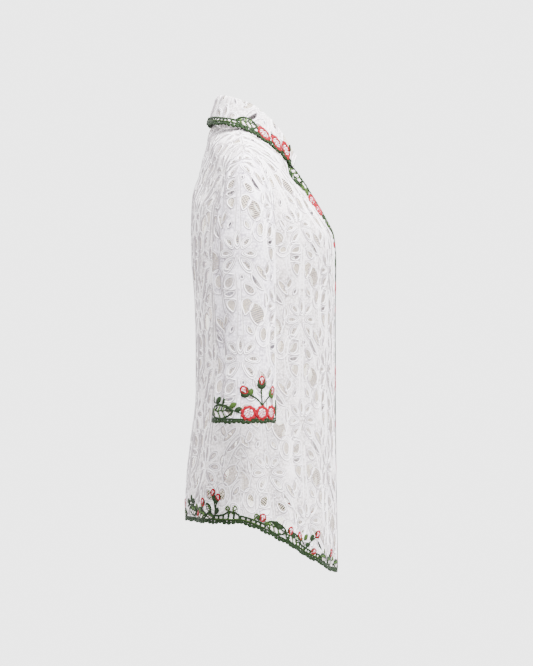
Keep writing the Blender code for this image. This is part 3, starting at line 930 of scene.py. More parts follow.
def strip_faces(lines, points, width, closed):
    """Quads between the neighbouring points of ribbons that are width points across."""
    index = np.arange(lines * points * width).reshape(lines, points, width)
    ahead = np.roll(index, -1, axis=1)
    if not closed:
        index, ahead = index[:, :-1], ahead[:, :-1]
    quads = [np.stack([index[..., k], index[..., k + 1], ahead[..., k + 1], ahead[..., k]], -1)
             for k in range(width - 1)]
    return np.stack(quads, 2).reshape(-1, 4)


LINE_MISS = 0.0005


def lay_lines(panel, lines, closed, half_width, profile):
    """Ribbons of equal length laid on a panel; profile gives (share across, height) pairs."""
    count, points = lines.shape[:2]
    flat = lines.reshape(-1, 2)
    low, high = panel["flat"].min(axis=(0, 1)), panel["flat"].max(axis=(0, 1))
    near = np.all((flat > low) & (flat < high), axis=1).reshape(count, points).any(axis=1)
    lines, count = lines[near], int(near.sum())
    flat = lines.reshape(-1, 2)
    place, miss = locate(panel, flat)
    inside = (place >= 0.0).all(axis=1) & (miss < LINE_MISS)
    inside &= (place <= np.array(panel["flat"].shape[:2]) - 1.0).all(axis=1)
    centre = raise_at(panel, place, np.zeros(len(place))).reshape(count, points, 3)
    out = read_grid(panel["out"], place).reshape(count, points, 3)
    side = unit(np.cross(out, along_lines(centre, closed)))
    layers = [centre + side * half_width * share + out * height for share, height in profile]
    solid = np.stack(layers, 2)
    faces = strip_faces(count, points, len(profile), closed)
    good = np.repeat(inside, len(profile))[faces].all(axis=1)
    across = len(profile) - 1
    good = np.repeat(good.reshape(-1, across).all(axis=1), across)
    uv = np.repeat(flat, len(profile), axis=0)
    return solid.reshape(-1, 3), uv, faces[good]


def join_parts(parts):
    """One set of arrays from several."""
    shift, points, uvs, faces = 0, [], [], []
    for part_points, uv, part_faces in parts:
        points.append(part_points)
        uvs.append(uv)
        faces.append(part_faces + shift)
        shift += len(part_points)
    points, uv, faces = np.concatenate(points), np.concatenate(uvs), np.concatenate(faces)
    used, faces_used = np.unique(faces, return_inverse=True)
    return points[used], uv[used], faces_used.reshape(faces.shape)

# %% [markdown]
# ## Cotton finishes
#
# The tape is matt cotton, white with a faint pink or violet tint. A dark second colour is painted
# into the gaps between small cells, in patches, as painted shade of a weave's gaps, and its
# stitches catch the light as a fine grain. Both are worked out by textures in space, which suits a
# surface with this many small openings. The cords are mercerised thread, a little smoother than the
# tape; their gaps get only a pale painted shade, so they look brighter. Along one side of every
# cord runs a dark strip of painted shade, the shadow the raised cord casts.

# %% Cloth materials
SHINE = 0.12
SHEEN_SPREAD = 0.5
PATCH_SCALE = 35.0
PATCH_DETAIL = 3.0
GRAIN_STRENGTH = 0.7
WEAVE_SCALE = 280.0
# How far the dark second colour, painted shade of the weave's gaps, spreads into each cell.
WEAVE_GAP_SHADE = 1.6
MIX_ONE, MIX_OTHER, MIX_RESULT = 6, 7, 2


def set_inputs(*rows):
    """Set node inputs from rows of node, input and value."""
    for node, socket, value in rows:
        node.inputs[socket].default_value = value


def wire(links, *rows):
    """Join nodes from rows of node, output, node and input."""
    for source, output, target, socket in rows:
        links.new(source.outputs[output], target.inputs[socket])


def multiply(nodes, clamp=False):
    """A node that multiplies two numbers."""
    node = nodes.new("ShaderNodeMath")
    node.operation = "MULTIPLY"
    node.use_clamp = clamp
    return node


def thread_material(name, colour, other, roughness, grain, depth, sheen):
    """A thread finish: a second, darker colour painted as shade into the gaps between small soft cells, in
    patches, and a fine raised grain.
    """
    material = bpy.data.materials.new(name)
    material.use_nodes = True
    nodes, links = material.node_tree.nodes, material.node_tree.links
    shader = nodes["Principled BSDF"]
    place = nodes.new("ShaderNodeTexCoord")
    patches = nodes.new("ShaderNodeTexNoise")
    mix = nodes.new("ShaderNodeMix")
    mix.data_type = "RGBA"
    stitches = nodes.new("ShaderNodeTexVoronoi")
    bump = nodes.new("ShaderNodeBump")
    weave = nodes.new("ShaderNodeTexVoronoi")
    both, deep = multiply(nodes), multiply(nodes, True)
    set_inputs((shader, "Roughness", roughness), (shader, "Sheen Weight", sheen),
               (shader, "Sheen Roughness", SHEEN_SPREAD), (shader, "Specular IOR Level", SHINE),
               (patches, "Scale", PATCH_SCALE), (patches, "Detail", PATCH_DETAIL),
               (mix, MIX_ONE, (*colour, 1.0)), (mix, MIX_OTHER, (*other, 1.0)),
               (stitches, "Scale", grain), (weave, "Scale", WEAVE_SCALE),
               (bump, "Strength", GRAIN_STRENGTH), (bump, "Distance", depth), (deep, 1, WEAVE_GAP_SHADE))
    wire(links, (place, "Object", weave, "Vector"), (place, "Object", patches, "Vector"),
         (place, "Object", stitches, "Vector"), (weave, "Distance", both, 0), (patches, "Fac", both, 1),
         (both, "Value", deep, 0), (deep, "Value", mix, 0), (mix, MIX_RESULT, shader, "Base Color"),
         (stitches, "Distance", bump, "Height"), (bump, "Normal", shader, "Normal"))
    return material


# The tape's dark second colour is painted shade in the gaps of the weave, laid in patches; the sleeve tape's
# is the same.
TAPE = thread_material("lace_tape", (0.95, 0.89, 0.92), (0.20, 0.17, 0.16), 0.85, 1100.0, 0.0004, 0.1)
SLEEVE_TAPE = thread_material("lace_tape_sleeve", (0.94, 0.89, 0.96), (0.20, 0.16, 0.21), 0.85, 1100.0,
                              0.0004, 0.1)
CORD = thread_material("lace_cord", (0.96, 0.92, 0.95), (0.88, 0.84, 0.88), 0.65, 900.0, 0.0003, 0.2)
# Painted shade: a dark strip along one side of every cord stands for the shadow the raised cord casts on the
# tape.
CORD_SHADE = thread_material("lace_cord_painted_shade", (0.34, 0.30, 0.32), (0.27, 0.24, 0.26), 0.90, 900.0, 0.0002, 0.0)
BAR = thread_material("lace_bar", (0.62, 0.54, 0.44), (0.54, 0.46, 0.37), 0.80, 1200.0, 0.0002, 0.1)

# %% Make the lace panels
CORD_HALF = 0.0010
# The profile's second strip, from the cord's top down to 1.8 half widths out, carries the painted cord
# shade.
CORD_PROFILE = ((-1.0, 0.0005), (0.3, 0.0014), (1.8, 0.0001))
BAR_HALF = 0.00048
BAR_PROFILE = ((-1.0, 0.0001), (1.0, 0.0001))


def flat_area(panel):
    """The area of the flat layout that the panel's addresses cover, before any opening is cut."""
    flat = panel["flat"]
    one, two = flat[1:, 1:] - flat[:-1, :-1], flat[1:, :-1] - flat[:-1, 1:]
    return float(np.abs(one[..., 0] * two[..., 1] - one[..., 1] * two[..., 0]).sum() / 2.0)


def worn_area(panel):
    """The area of the panel as it is worn, with its folds, before any opening is cut."""
    p = panel["points"]
    square = np.cross(p[1:, 1:] - p[:-1, :-1], p[1:, :-1] - p[:-1, 1:])
    return float(np.linalg.norm(square, axis=-1).sum() / 2.0)


LACE = {}
for name, panel in PANELS.items():
    field = opening_map(name, panel)
    points, flat, faces = cut_panel(panel, field)
    finish = SLEEVE_TAPE if name.startswith("sleeve") else TAPE
    tape = build_mesh(f"lace_{name}", points, faces, flat, [finish])
    cords = [lay_lines(panel, spread(name, panel, "cords"), True, CORD_HALF, CORD_PROFILE),
             lay_lines(panel, spread(name, panel, "lines"), False, CORD_HALF, CORD_PROFILE)]
    points, flat, cord_faces = join_parts(cords)
    # Every second face is a cord's outer strip and takes the second material, the painted cord shade.
    slots = np.arange(len(cord_faces)) % 2 if len(cord_faces) % 2 == 0 else None
    cord = build_mesh(f"cords_{name}", points, cord_faces, flat, [CORD, CORD_SHADE], slots)
    points, flat, bar_faces = join_parts(
        [lay_lines(panel, spread(name, panel, "bars"), False, BAR_HALF, BAR_PROFILE)])
    bars = build_mesh(f"bars_{name}", points, bar_faces, flat, [BAR])
    LACE[name] = (tape, cord, bars)
    print(name, "tape", len(faces), "cords", 2 * len(cord_faces), "bars", 2 * len(bar_faces),
          "flat area", round(flat_area(panel), 4), "worn area", round(worn_area(panel), 4))

# %% [markdown]
# ## Embroidery threads
#
# The edging is satin stitch: close parallel threads that stand proud of the lace and shine a
# little. Each finish below has two near colours, the darker one painted as shade into the gaps
# between small cells, and a fine raised grain. The stitches pass through the cloth, so each
# motif also has a back, seen from inside the blouse.

# %% Thread colours
STITCH_GRAIN = 1500.0
THREADS = {
    "thread_dark_green": ((0.010, 0.024, 0.006), (0.004, 0.012, 0.003)),
    "thread_mid_green": ((0.034, 0.066, 0.010), (0.018, 0.040, 0.006)),
    "thread_light_green": ((0.080, 0.150, 0.035), (0.055, 0.110, 0.026)),
    "thread_red": ((0.230, 0.000, 0.010), (0.175, 0.000, 0.006)),
    "thread_pink": ((0.520, 0.060, 0.120), (0.420, 0.025, 0.070)),
    "thread_white": ((0.820, 0.740, 0.770), (0.700, 0.560, 0.610)),
}
THREAD_MATERIALS = [thread_material(name, one, two, 0.60, STITCH_GRAIN, 0.0003, 0.0)
                    for name, (one, two) in THREADS.items()]
DARK, MID, LIGHT, RED, PINK, WHITE = range(len(THREADS))
print("threads:", len(THREADS))

# %% [markdown]
# ## Working along an edge
#
# Every motif is placed by how far along an edge it is and how far in from it. The same motif can
# then sit on a hem, a cuff or a neckline, and it follows the edge's curve.

# %% Edge frames
def edge_frame(panel, path):
    """Distance along an edge, its flat points, and the flat directions in from it."""
    run = run_of(path)
    along = np.gradient(path, run, axis=0)
    inward = np.stack([-along[:, 1], along[:, 0]], -1)
    middle = panel["flat"].reshape(-1, 2).mean(axis=0)
    if ((middle - path) * inward).sum() < 0.0:
        inward = -inward
    return {"run": run, "path": path, "inward": inward}


def on_edge(frame_of_edge, spots):
    """Flat points for (along, in) places on an edge."""
    run = frame_of_edge["run"]
    s = np.clip(spots[..., 0], 0.0, run[-1])
    beyond = (spots[..., 0] - s)[..., None]
    line = frame_of_edge["path"]
    first, last = unit(line[1] - line[0]), unit(line[-1] - line[-2])
    along = np.where(spots[..., :1] > run[-1] / 2.0, last, first)
    inward = read_line(s, run, frame_of_edge["inward"])
    return read_line(s, run, line) + beyond * along + inward * spots[..., 1:]


# %% Threads and pads
THREAD_POINTS = 9
RING_POINTS = 16
THREAD_LIFT = 0.0013
THREAD_RAISE = 0.0011
BACK_DEPTH = 0.0017
SPILL = 3.0
THREAD_MISS = 0.001


def lay_rings(panel, rings, heights, closed):
    """A skin through rows of flat points, given as (shapes, layers, points, 2), at heights."""
    shapes, layers, points = rings.shape[:3]
    flat = rings.reshape(-1, 2)
    place, miss = locate(panel, flat)
    far = np.array(panel["flat"].shape[:2]) - 1.0 + SPILL
    good = (place > -SPILL).all(axis=1) & (place < far).all(axis=1) & (miss < THREAD_MISS)
    good = good.reshape(shapes, -1).all(axis=1)
    solid = raise_at(panel, place, np.tile(np.repeat(heights, points), shapes))
    index = np.arange(layers * points).reshape(layers, points)
    ahead = np.roll(index, -1, axis=1) if closed else index[:, 1:]
    index = index if closed else index[:, :-1]
    quads = np.stack([index[:-1], ahead[:-1], ahead[1:], index[1:]], -1).reshape(-1, 4)
    faces = (np.arange(shapes) * layers * points)[good][:, None, None] + quads[None]
    return solid, flat, faces.reshape(-1, 4)


def thread_rows(lines, half_width, closed):
    """Rows of points round each thread: one side, the top, the other side and the back."""
    along = along_lines(lines, closed)
    side = unit(np.stack([-along[..., 1], along[..., 0]], -1)) * half_width[:, None, None]
    return np.stack([lines - side, lines, lines + side, lines, lines - side], 1)


def resample(line, count, closed=False):
    """The same line with evenly spaced points."""
    line = np.array(line, float)
    if closed:
        line = np.concatenate([line, line[:1]])
    run = run_of(line)
    even = read_line(np.linspace(0.0, run[-1], count + 1 if closed else count), run, line)
    return even[:-1] if closed else even

# %% [markdown]
# ## Motifs of the edging
#
# A small sketchbook collects strokes, closed outlines and filled pads in millimetres, so each
# flower is a few lines long: a rose is a scalloped red ring round a speckled middle, a bud is a
# red drop in a green calyx, and a leaf is an outline with a midrib and slanting veins.

# %% The sketchbook
def new_sketch():
    """Empty lists for open threads, closed threads and pads."""
    return {"open": [], "closed": [], "pad": []}


def placed(points, spot, turn, size=1.0, stretch=(1.0, 1.0)):
    """Points in millimetres turned, scaled and moved to a place on an edge, in metres."""
    points = np.array(points, float) * size
    return turned_by(points[:, 0], points[:, 1], turn) * np.array(stretch) * MM + np.array(spot)


def stroke(sketch, points, width, colour, high=1.0):
    """An open thread; its width and height are in millimetres."""
    sketch["open"].append((resample(points, THREAD_POINTS), width * MM / 2.0, colour, high * MM))


def ring(sketch, points, width, colour, high=1.0):
    """A closed thread; its width and height are in millimetres."""
    even = resample(points, RING_POINTS, True)
    sketch["closed"].append((even, width * MM / 2.0, colour, high * MM))


def pad(sketch, points, colour, high=1.0):
    """A filled outline; its height is in millimetres."""
    sketch["pad"].append((resample(points, RING_POINTS, True), colour, high * MM))


def drop_shape(length, width, point=0.5):
    """A leaf's or bud's outline in millimetres, from its foot at the origin."""
    return outline((length / 2.0, 0.0, length, width, 0.0, point, 0.0, 0.0)) / MM


# %% Leaves, buds, roses and curls
VEINS = 6


def sprig(sketch, spot, turn, size=1.0, colour=DARK):
    """One small solid leaf."""
    pad(sketch, placed(drop_shape(9.0, 5.8), spot, turn, size), colour, 1.1)


def leaf(sketch, spot, turn, size=1.0):
    """A large leaf: a dark outline and midrib, and slanting veins in lighter threads."""
    length, width = 34.0, 15.0
    ring(sketch, placed(drop_shape(length, width), spot, turn, size), 3.2, DARK, 1.2)
    rib = [(-3.0, 0.0), (length / 2.0, 0.8), (length, 0.0)]
    stroke(sketch, placed(smooth_line(rib), spot, turn, size), 2.4, DARK, 1.3)
    for k in range(VEINS):
        x = 5.0 + k * (length - 11.0) / VEINS
        reach = width * 0.42 * math.sin(math.pi * (x + 2.0) / length)
        for side, colour in ((-1.0, WHITE if k % 2 else MID), (1.0, DARK if k % 2 else LIGHT)):
            vein = [(x, 0.5), (x + 3.6, side * reach)]
            stroke(sketch, placed(vein, spot, turn, size), 2.6, colour, 0.9)


def bud(sketch, spot, turn, size=1.0, stem=None):
    """A rosebud: pink inside a red drop, with a calyx, and a stem from a given place."""
    pad(sketch, placed(drop_shape(10.0, 7.2, 0.1), spot, turn, size), WHITE, 1.0)
    blush = placed(drop_shape(6.5, 3.0, 0.2) + (1.5, -1.0), spot, turn, size)
    pad(sketch, blush, PINK, 1.4)
    ring(sketch, placed(drop_shape(10.4, 7.4, 0.1), spot, turn, size), 3.0, RED, 1.4)
    fold = [(3.0, 2.6), (6.5, 0.4), (9.6, 0.6)]
    stroke(sketch, placed(smooth_line(fold), spot, turn, size), 1.8, RED, 1.5)
    for lean in (-38.0, 38.0):
        sprig(sketch, spot, turn + lean, 0.95 * size)
    if stem is not None:
        middle = (np.array(spot) + np.array(stem)) / 2.0 + (0.0015, 0.0)
        stroke(sketch, smooth_line([stem, middle, spot]), 2.2, DARK)


SCALLOPS = 9
SPECKLES = 13


def rose(sketch, spot, size=1.0, stretch=(1.0, 1.0)):
    """A round rose: a scalloped red rim, and a white middle speckled with pink and red knots."""
    t = np.linspace(0.0, 2.0 * math.pi, 72, endpoint=False)
    round_line = np.stack([np.cos(t), np.sin(t)], -1)
    pad(sketch, placed(7.6 * round_line, spot, 0.0, size, stretch), WHITE, 0.8)
    ring(sketch, placed(8.6 * round_line, spot, 0.0, size, stretch), 4.6, RED, 1.3)
    for k in range(SCALLOPS):
        petal = placed(drop_shape(4.6, 5.6, 0.0) + (7.4, 0.0), spot, 360.0 * k / SCALLOPS, size, stretch)
        pad(sketch, petal, RED, 1.25)
    for k in range(SPECKLES):
        turn, reach = 2.4 * k, 1.75 * math.sqrt(k + 0.3)
        x, y = reach * math.cos(turn), reach * math.sin(turn)
        knot = placed([(x - 1.3, y - 0.6), (x + 1.3, y + 0.6)], spot, 0.0, size, stretch)
        stroke(sketch, knot, 1.9, (RED, PINK, RED)[k % 3], 1.7)


def curl(sketch, spot, turn, size=1.0, flip=1.0):
    """A tendril that winds to a round end."""
    t = np.linspace(0.0, 1.0, 30)
    wind = math.pi * (1.0 - 1.75 * t)
    reach = 4.8 * (1.0 - 0.45 * t)
    coil = np.stack([8.0 + reach * np.cos(wind), flip * reach * np.sin(wind)], -1)
    coil = np.concatenate([[(-4.0, 0.0)], coil])
    stroke(sketch, placed(coil, spot, turn, size), 2.6, MID, 1.2)
    end = drop_shape(4.0, 4.0, 0.0) + coil[-1] - (2.0, 0.0)
    pad(sketch, placed(end, spot, turn, size), MID, 1.3)


BEAD_PITCH = 0.0070
BEAD_START = 0.0014
BEADS_A_STROKE = 4
BORDER_IN = 0.0036
LOBE_PITCH = 0.0270
LOBE_DIP = 0.0022


def border_line(sketch, start, end):
    """The scalloped edge: a firm line, with a bead hanging at every step below it."""
    count = max(2, round((end - start) / BEAD_PITCH))
    stops = np.linspace(start, end, count + 1)
    for k in range(count):
        dip = LOBE_DIP * abs(math.sin(math.pi * stops[k] / LOBE_PITCH))
        pad(sketch, placed(drop_shape(7.6, 6.6, 0.0), (stops[k], BEAD_START - dip), 0.0), DARK, 1.1)
    for first in range(0, count, BEADS_A_STROKE):
        last = min(first + BEADS_A_STROKE, count)
        stroke(sketch, [(stops[first], BORDER_IN), (stops[last], BORDER_IN)], 2.6, DARK, 1.3)


BRAID_PITCH = 0.0080
BRAID_FOOT = 0.0040
BRAID_LOW = 0.0046
BRAID_TOP = 0.0098


def braid(sketch, start, end, rise):
    """A braid: a line along the top, rungs between, and white squares of lace that show through."""
    count = max(2, round((end - start) / BRAID_PITCH))
    stops = np.linspace(start, end, count + 1)
    tops = [BRAID_TOP + (0.0 if rise is None else rise(s)) for s in stops]
    for k, s in enumerate(stops):
        stroke(sketch, [(s, BRAID_FOOT), (s, tops[k])], 3.4, DARK, 1.1)
        if k < count:
            stroke(sketch, [(s, tops[k]), (stops[k + 1], tops[k + 1])], 3.0, DARK, 1.3)
            stroke(sketch, [(s, BRAID_LOW), (stops[k + 1], BRAID_LOW)], 2.2, MID, 1.4)

# %% [markdown]
# ## Where each motif goes
#
# Tables keep the layout readable: the motif's kind, its place along and in from the edge, its
# turn (0 along the edge, 90 straight in) and its size.

# %% Layout tables, in millimetres from the start of each edge
# Columns: kind, along, inward, turn, size.
HEM_FRONT = (
    ("curl", 22.0, 11.0, 60.0, 0.9), ("bud", 34.0, 13.0, 80.0, 1.15), ("sprig", 31.0, 12.0, 140.0, 1.0),
    ("sprig", 39.0, 10.0, 30.0, 1.2), ("leaf", 42.0, 12.0, 4.0, 1.15), ("sprig", 58.0, 14.0, 70.0, 1.3),
    ("sprig", 62.0, 14.0, 30.0, 1.3), ("leaf", 80.0, 12.0, -2.0, 1.15), ("bud", 88.0, 15.0, 86.0, 1.1),
    ("sprig", 92.0, 12.0, 40.0, 1.2), ("bud", 116.0, 17.0, 125.0, 1.1), ("sprig", 123.0, 16.0, 150.0, 1.3),
    ("sprig", 126.0, 20.0, 60.0, 1.5), ("sprig", 131.0, 14.0, 20.0, 1.4), ("sprig", 140.0, 25.0, 60.0, 1.4),
    ("bud", 152.0, 34.0, 62.0, 1.15), ("bud", 150.0, 8.0, 35.0, 1.0), ("leaf", 172.0, 8.0, 6.0, 0.8),
    ("sprig", 186.0, 14.0, 80.0, 1.2), ("leaf", 206.0, 9.0, 10.0, 0.8), ("bud", 236.0, 20.0, 80.0, 1.1),
    ("sprig", 232.0, 14.0, 130.0, 1.3), ("sprig", 240.0, 13.0, 40.0, 1.3), ("leaf", 250.0, 9.0, 4.0, 0.85),
    ("bud", 284.0, 15.0, 70.0, 1.0), ("sprig", 290.0, 11.0, 20.0, 1.4), ("sprig", 302.0, 9.0, 150.0, 1.4),
    ("leaf", 288.0, 8.0, 4.0, 0.85), ("sprig", 310.0, 16.0, 110.0, 1.3),
)
HEM_BACK = (
    ("curl", 17.0, 15.5, 60.0, 0.8), ("curl_back", 11.0, 15.5, 118.0, 0.8),
    ("sprig", 38.0, 12.0, 100.0, 1.2), ("sprig", 43.0, 30.0, 85.0, 1.4), ("sprig", 41.0, 28.0, 110.0, 1.2),
    ("bud", 35.0, 34.0, 70.0, 0.85), ("bud", 48.0, 41.0, 104.0, 0.85), ("leaf", 42.0, 6.0, 20.0, 0.5),
    ("leaf", 50.0, 15.0, 60.0, 0.45), ("bud", 66.0, 24.0, 70.0, 1.15), ("leaf", 58.0, 8.0, 14.0, 1.05),
    ("sprig", 72.0, 20.0, 120.0, 1.4), ("bud", 92.0, 7.0, 140.0, 1.1), ("sprig", 96.0, 18.0, 40.0, 1.3),
    ("leaf", 98.0, 12.0, 10.0, 0.95), ("sprig", 110.0, 24.0, 60.0, 1.3), ("sprig", 116.0, 27.0, 30.0, 1.3),
    ("sprig", 122.0, 28.0, 80.0, 1.3), ("sprig", 128.0, 26.0, 20.0, 1.3), ("sprig", 133.0, 22.0, 70.0, 1.3),
    ("leaf", 142.0, 8.0, 4.0, 0.9), ("bud", 180.0, 14.0, 80.0, 1.1), ("sprig", 184.0, 11.0, 30.0, 1.3),
    ("leaf", 190.0, 9.0, 6.0, 0.85), ("bud", 226.0, 12.0, 70.0, 1.1), ("sprig", 232.0, 10.0, 20.0, 1.4),
    ("curl", 240.0, 10.0, 60.0, 0.9),
)
CUFF = (
    ("leaf", 84.0, 13.0, 3.0, 1.42), ("sprig", 84.0, 26.0, 60.0, 1.4), ("sprig", 98.0, 26.0, 50.0, 1.5),
    ("sprig", 112.0, 24.0, 70.0, 1.3), ("sprig", 126.0, 21.0, 30.0, 1.5), ("sprig", 134.0, 16.0, 20.0, 1.4),
    ("rose", 155.0, 12.5, 0.0, 1.0), ("rose", 176.0, 12.5, 0.0, 1.0), ("rose", 196.0, 12.5, 0.0, 1.0),
    ("bud", 151.0, 42.0, 128.0, 1.15), ("sprig", 155.0, 38.0, 170.0, 1.4), ("sprig", 156.0, 38.0, 80.0, 1.3),
    ("bud", 173.0, 55.0, 92.0, 1.15), ("sprig", 173.5, 48.0, 125.0, 1.4), ("sprig", 173.5, 48.0, 55.0, 1.4),
    ("bud", 195.0, 40.0, 62.0, 1.15), ("sprig", 192.0, 35.0, 90.0, 1.4), ("sprig", 192.0, 35.0, 20.0, 1.4),
    ("leaf", 214.0, 5.0, 82.0, 0.75), ("leaf", 222.0, 10.0, 6.0, 0.8),
    ("leaf", 250.0, 10.0, 4.0, 0.9), ("sprig", 246.0, 14.0, 80.0, 1.3),
    ("leaf", 14.0, 10.0, 6.0, 0.9), ("leaf", 52.0, 10.0, 6.0, 0.9), ("bud", 48.0, 13.0, 85.0, 1.0),
)
COLLAR_EDGE = (
    ("leaf", 78.0, 10.0, 6.0, 1.1), ("sprig", 112.0, 9.0, 20.0, 1.2),
    ("rose_long", 130.0, 9.0, 0.0, 1.05), ("rose_long", 161.0, 9.0, 0.0, 1.1),
    ("rose_long", 194.0, 9.5, 0.0, 1.15), ("sprig", 208.0, 12.0, 60.0, 1.2),
)
FRONT_EDGE = (
    ("leaf", 100.0, 10.0, 4.0, 1.25), ("sprig", 106.0, 16.0, 8.0, 1.6),
    ("sprig", 122.0, 17.0, 4.0, 1.6), ("sprig", 138.0, 13.0, -6.0, 1.6), ("sprig", 150.0, 8.0, 20.0, 1.6),
    ("rose", 174.0, 11.0, 0.0, 0.95),
    ("rose", 194.0, 11.0, 0.0, 0.95), ("sprig", 203.0, 7.0, 20.0, 1.4), ("leaf", 210.0, 7.0, 6.0, 0.8),
    ("sprig", 246.0, 8.0, 40.0, 1.3), ("bud", 262.0, 8.0, 60.0, 1.0), ("leaf", 282.0, 7.0, 6.0, 0.9),
    ("rose", 336.0, 11.0, 0.0, 0.95), ("sprig", 350.0, 8.0, 20.0, 1.4), ("bud", 366.0, 9.0, 30.0, 1.1),
    ("leaf", 384.0, 7.0, 6.0, 0.9), ("sprig", 424.0, 8.0, 50.0, 1.5), ("leaf", 430.0, 7.0, 4.0, 0.8),
    ("rose", 474.0, 11.0, 0.0, 0.95), ("rose", 495.0, 11.0, 0.0, 0.95), ("leaf", 512.0, 7.0, 6.0, 0.9),
    ("bud", 556.0, 9.0, 50.0, 1.1), ("sprig", 562.0, 7.0, 10.0, 1.4), ("leaf", 582.0, 7.0, 6.0, 0.9),
    ("rose", 632.0, 11.0, 0.0, 0.95), ("leaf", 650.0, 7.0, 6.0, 0.9), ("bud", 694.0, 9.0, 50.0, 1.1),
    ("leaf", 712.0, 7.0, 6.0, 0.9), ("bud", 758.0, 12.0, 60.0, 1.0), ("sprig", 764.0, 8.0, 20.0, 1.4),
)
STEMS = {
    "hem_front": (((132, 5), (128, 14), (117, 18)), ((132, 5), (140, 20), (152, 34)),
                  ((226, 5), (232, 12), (236, 20)), ((84, 6), (87, 10), (88, 15))),
    "hem_back": (((40, 8), (42, 26), (48, 41)), ((40, 8), (40, 24), (35, 34)),
                 ((74, 8), (72, 16), (66, 24)), ((96, 8), (116, 24), (138, 20))),
    "cuff": (((176, 24), (166, 34), (151, 42)), ((176, 24), (174, 40), (173, 55)),
             ((176, 24), (186, 34), (195, 40)), ((78, 30), (104, 25), (134, 16), (146, 12))),
    "collar": (), "front_edge": (),
}

# %% [markdown]
# Laying a whole edge is then one call: it draws the table into a sketchbook, carries every line
# onto the panel, and joins the result into one mesh whose faces are sorted by thread colour.

# %% Lay the embroidery
LONG_ROSE = (1.25, 0.72)
SHORT_STEM = 20.0
STEM_LEAN = 0.003
STEM_FOOT = 0.0035


def draw_layout(sketch, layout):
    """Draw every motif of a layout table."""
    for kind, along, inward, turn, size in layout:
        spot = (along * MM, inward * MM)
        if kind == "leaf":
            leaf(sketch, spot, turn, size)
        elif kind == "bud":
            foot = (spot[0] - STEM_LEAN, STEM_FOOT)
            bud(sketch, spot, turn, size, foot if inward < SHORT_STEM else None)
        elif kind == "rose":
            rose(sketch, spot, size)
        elif kind == "rose_long":
            rose(sketch, spot, size, LONG_ROSE)
        elif kind.startswith("curl"):
            curl(sketch, spot, turn, size, -1.0 if kind == "curl_back" else 1.0)
        else:
            sprig(sketch, spot, turn, size, MID if int(along) % 3 == 0 else DARK)


PAD_SCALES = (0.03, 0.62, 1.0, 0.62, 0.03)
PAD_ROUND = 0.0002


def carry(panel, edge, sketch):
    """Points, flat addresses, faces and colours of a sketch laid on a panel."""
    parts, slots = [], []
    for kind in ("open", "closed"):
        if not sketch[kind]:
            continue
        lines = on_edge(edge, np.array([line for line, *_ in sketch[kind]]))
        half = np.array([item[1] for item in sketch[kind]])
        rows = thread_rows(lines, half, kind == "closed")
        for high in sorted({item[3] for item in sketch[kind]}):
            chosen = [k for k, item in enumerate(sketch[kind]) if item[3] == high]
            top = high + THREAD_RAISE
            heights = np.array((THREAD_LIFT, top, THREAD_LIFT, -BACK_DEPTH, THREAD_LIFT))
            for colour in sorted({sketch[kind][k][2] for k in chosen}):
                picked = [k for k in chosen if sketch[kind][k][2] == colour]
                part = lay_rings(panel, rows[picked], heights, kind == "closed")
                parts.append(part)
                slots.append(np.full(len(part[2]), colour))
    for colour in sorted({item[1] for item in sketch["pad"]}):
        for high in sorted({item[2] for item in sketch["pad"] if item[1] == colour}):
            picked = [item[0] for item in sketch["pad"] if item[1] == colour and item[2] == high]
            lines = on_edge(edge, np.array(picked))
            middle = lines.mean(axis=1, keepdims=True)
            rows = np.stack([middle + (lines - middle) * scale for scale in PAD_SCALES], 1)
            top = high + THREAD_RAISE
            heights = np.array((top, top - PAD_ROUND, THREAD_LIFT, -BACK_DEPTH, -BACK_DEPTH))
            part = lay_rings(panel, rows, heights, True)
            parts.append(part)
            slots.append(np.full(len(part[2]), colour))
    return parts, slots


def embroider(name, jobs):
    """One mesh for an edging; each job is a panel, an edge and a sketch."""
    parts, slots = [], []
    for panel, edge, sketch in jobs:
        more, colours = carry(panel, edge, sketch)
        parts += more
        slots += colours
    points, flat, faces = join_parts(parts)
    piece = build_mesh(name, points, faces, flat, THREAD_MATERIALS, np.concatenate(slots))
    print(name, "triangles", 2 * len(faces))
    return piece


PEAK_HEIGHT = 0.0075
PEAK_PLACE = 0.014
PEAK_WIDTH = 0.009


def peak(s):
    """The braid's ogee, which rises to a point near the side seam."""
    return PEAK_HEIGHT * math.exp(-(((s - PEAK_PLACE) / PEAK_WIDTH) ** 2))


def sketch_for(layout, stems, start, end, braids, rise=None):
    """A sketch with its border line, braids, stems and motifs."""
    sketch = new_sketch()
    border_line(sketch, start, end)
    for first, last in braids:
        braid(sketch, first, last, rise)
    for stem in STEMS[stems]:
        stroke(sketch, smooth_line(np.array(stem) * MM), 2.4, DARK, 1.1)
    draw_layout(sketch, layout)
    return sketch


SEAM_START = -0.0015
END_MARGIN = 0.001
FRONT_START = 0.098
HEM_BACK_END = 0.2565
COLLAR_END = 0.2150
BRAIDS = {
    "hem_front": ((0.001, 0.042), (0.108, 0.170)),
    "hem_back": ((0.001, 0.042),),
    "front_edge": ((0.228, 0.250),),
    "cuff": ((0.001, 0.014), (0.036, 0.052), (0.282, 0.296)),
    "collar": ((0.0, 0.080),),
}


def both_halves(panel, paths, layout, kind, start, end, rise=None):
    """The jobs for an edge that runs both ways from the middle, one for each half."""
    return [(panel, edge_frame(panel, path), sketch_for(layout, kind, start, end, BRAIDS[kind], rise))
            for path in paths]


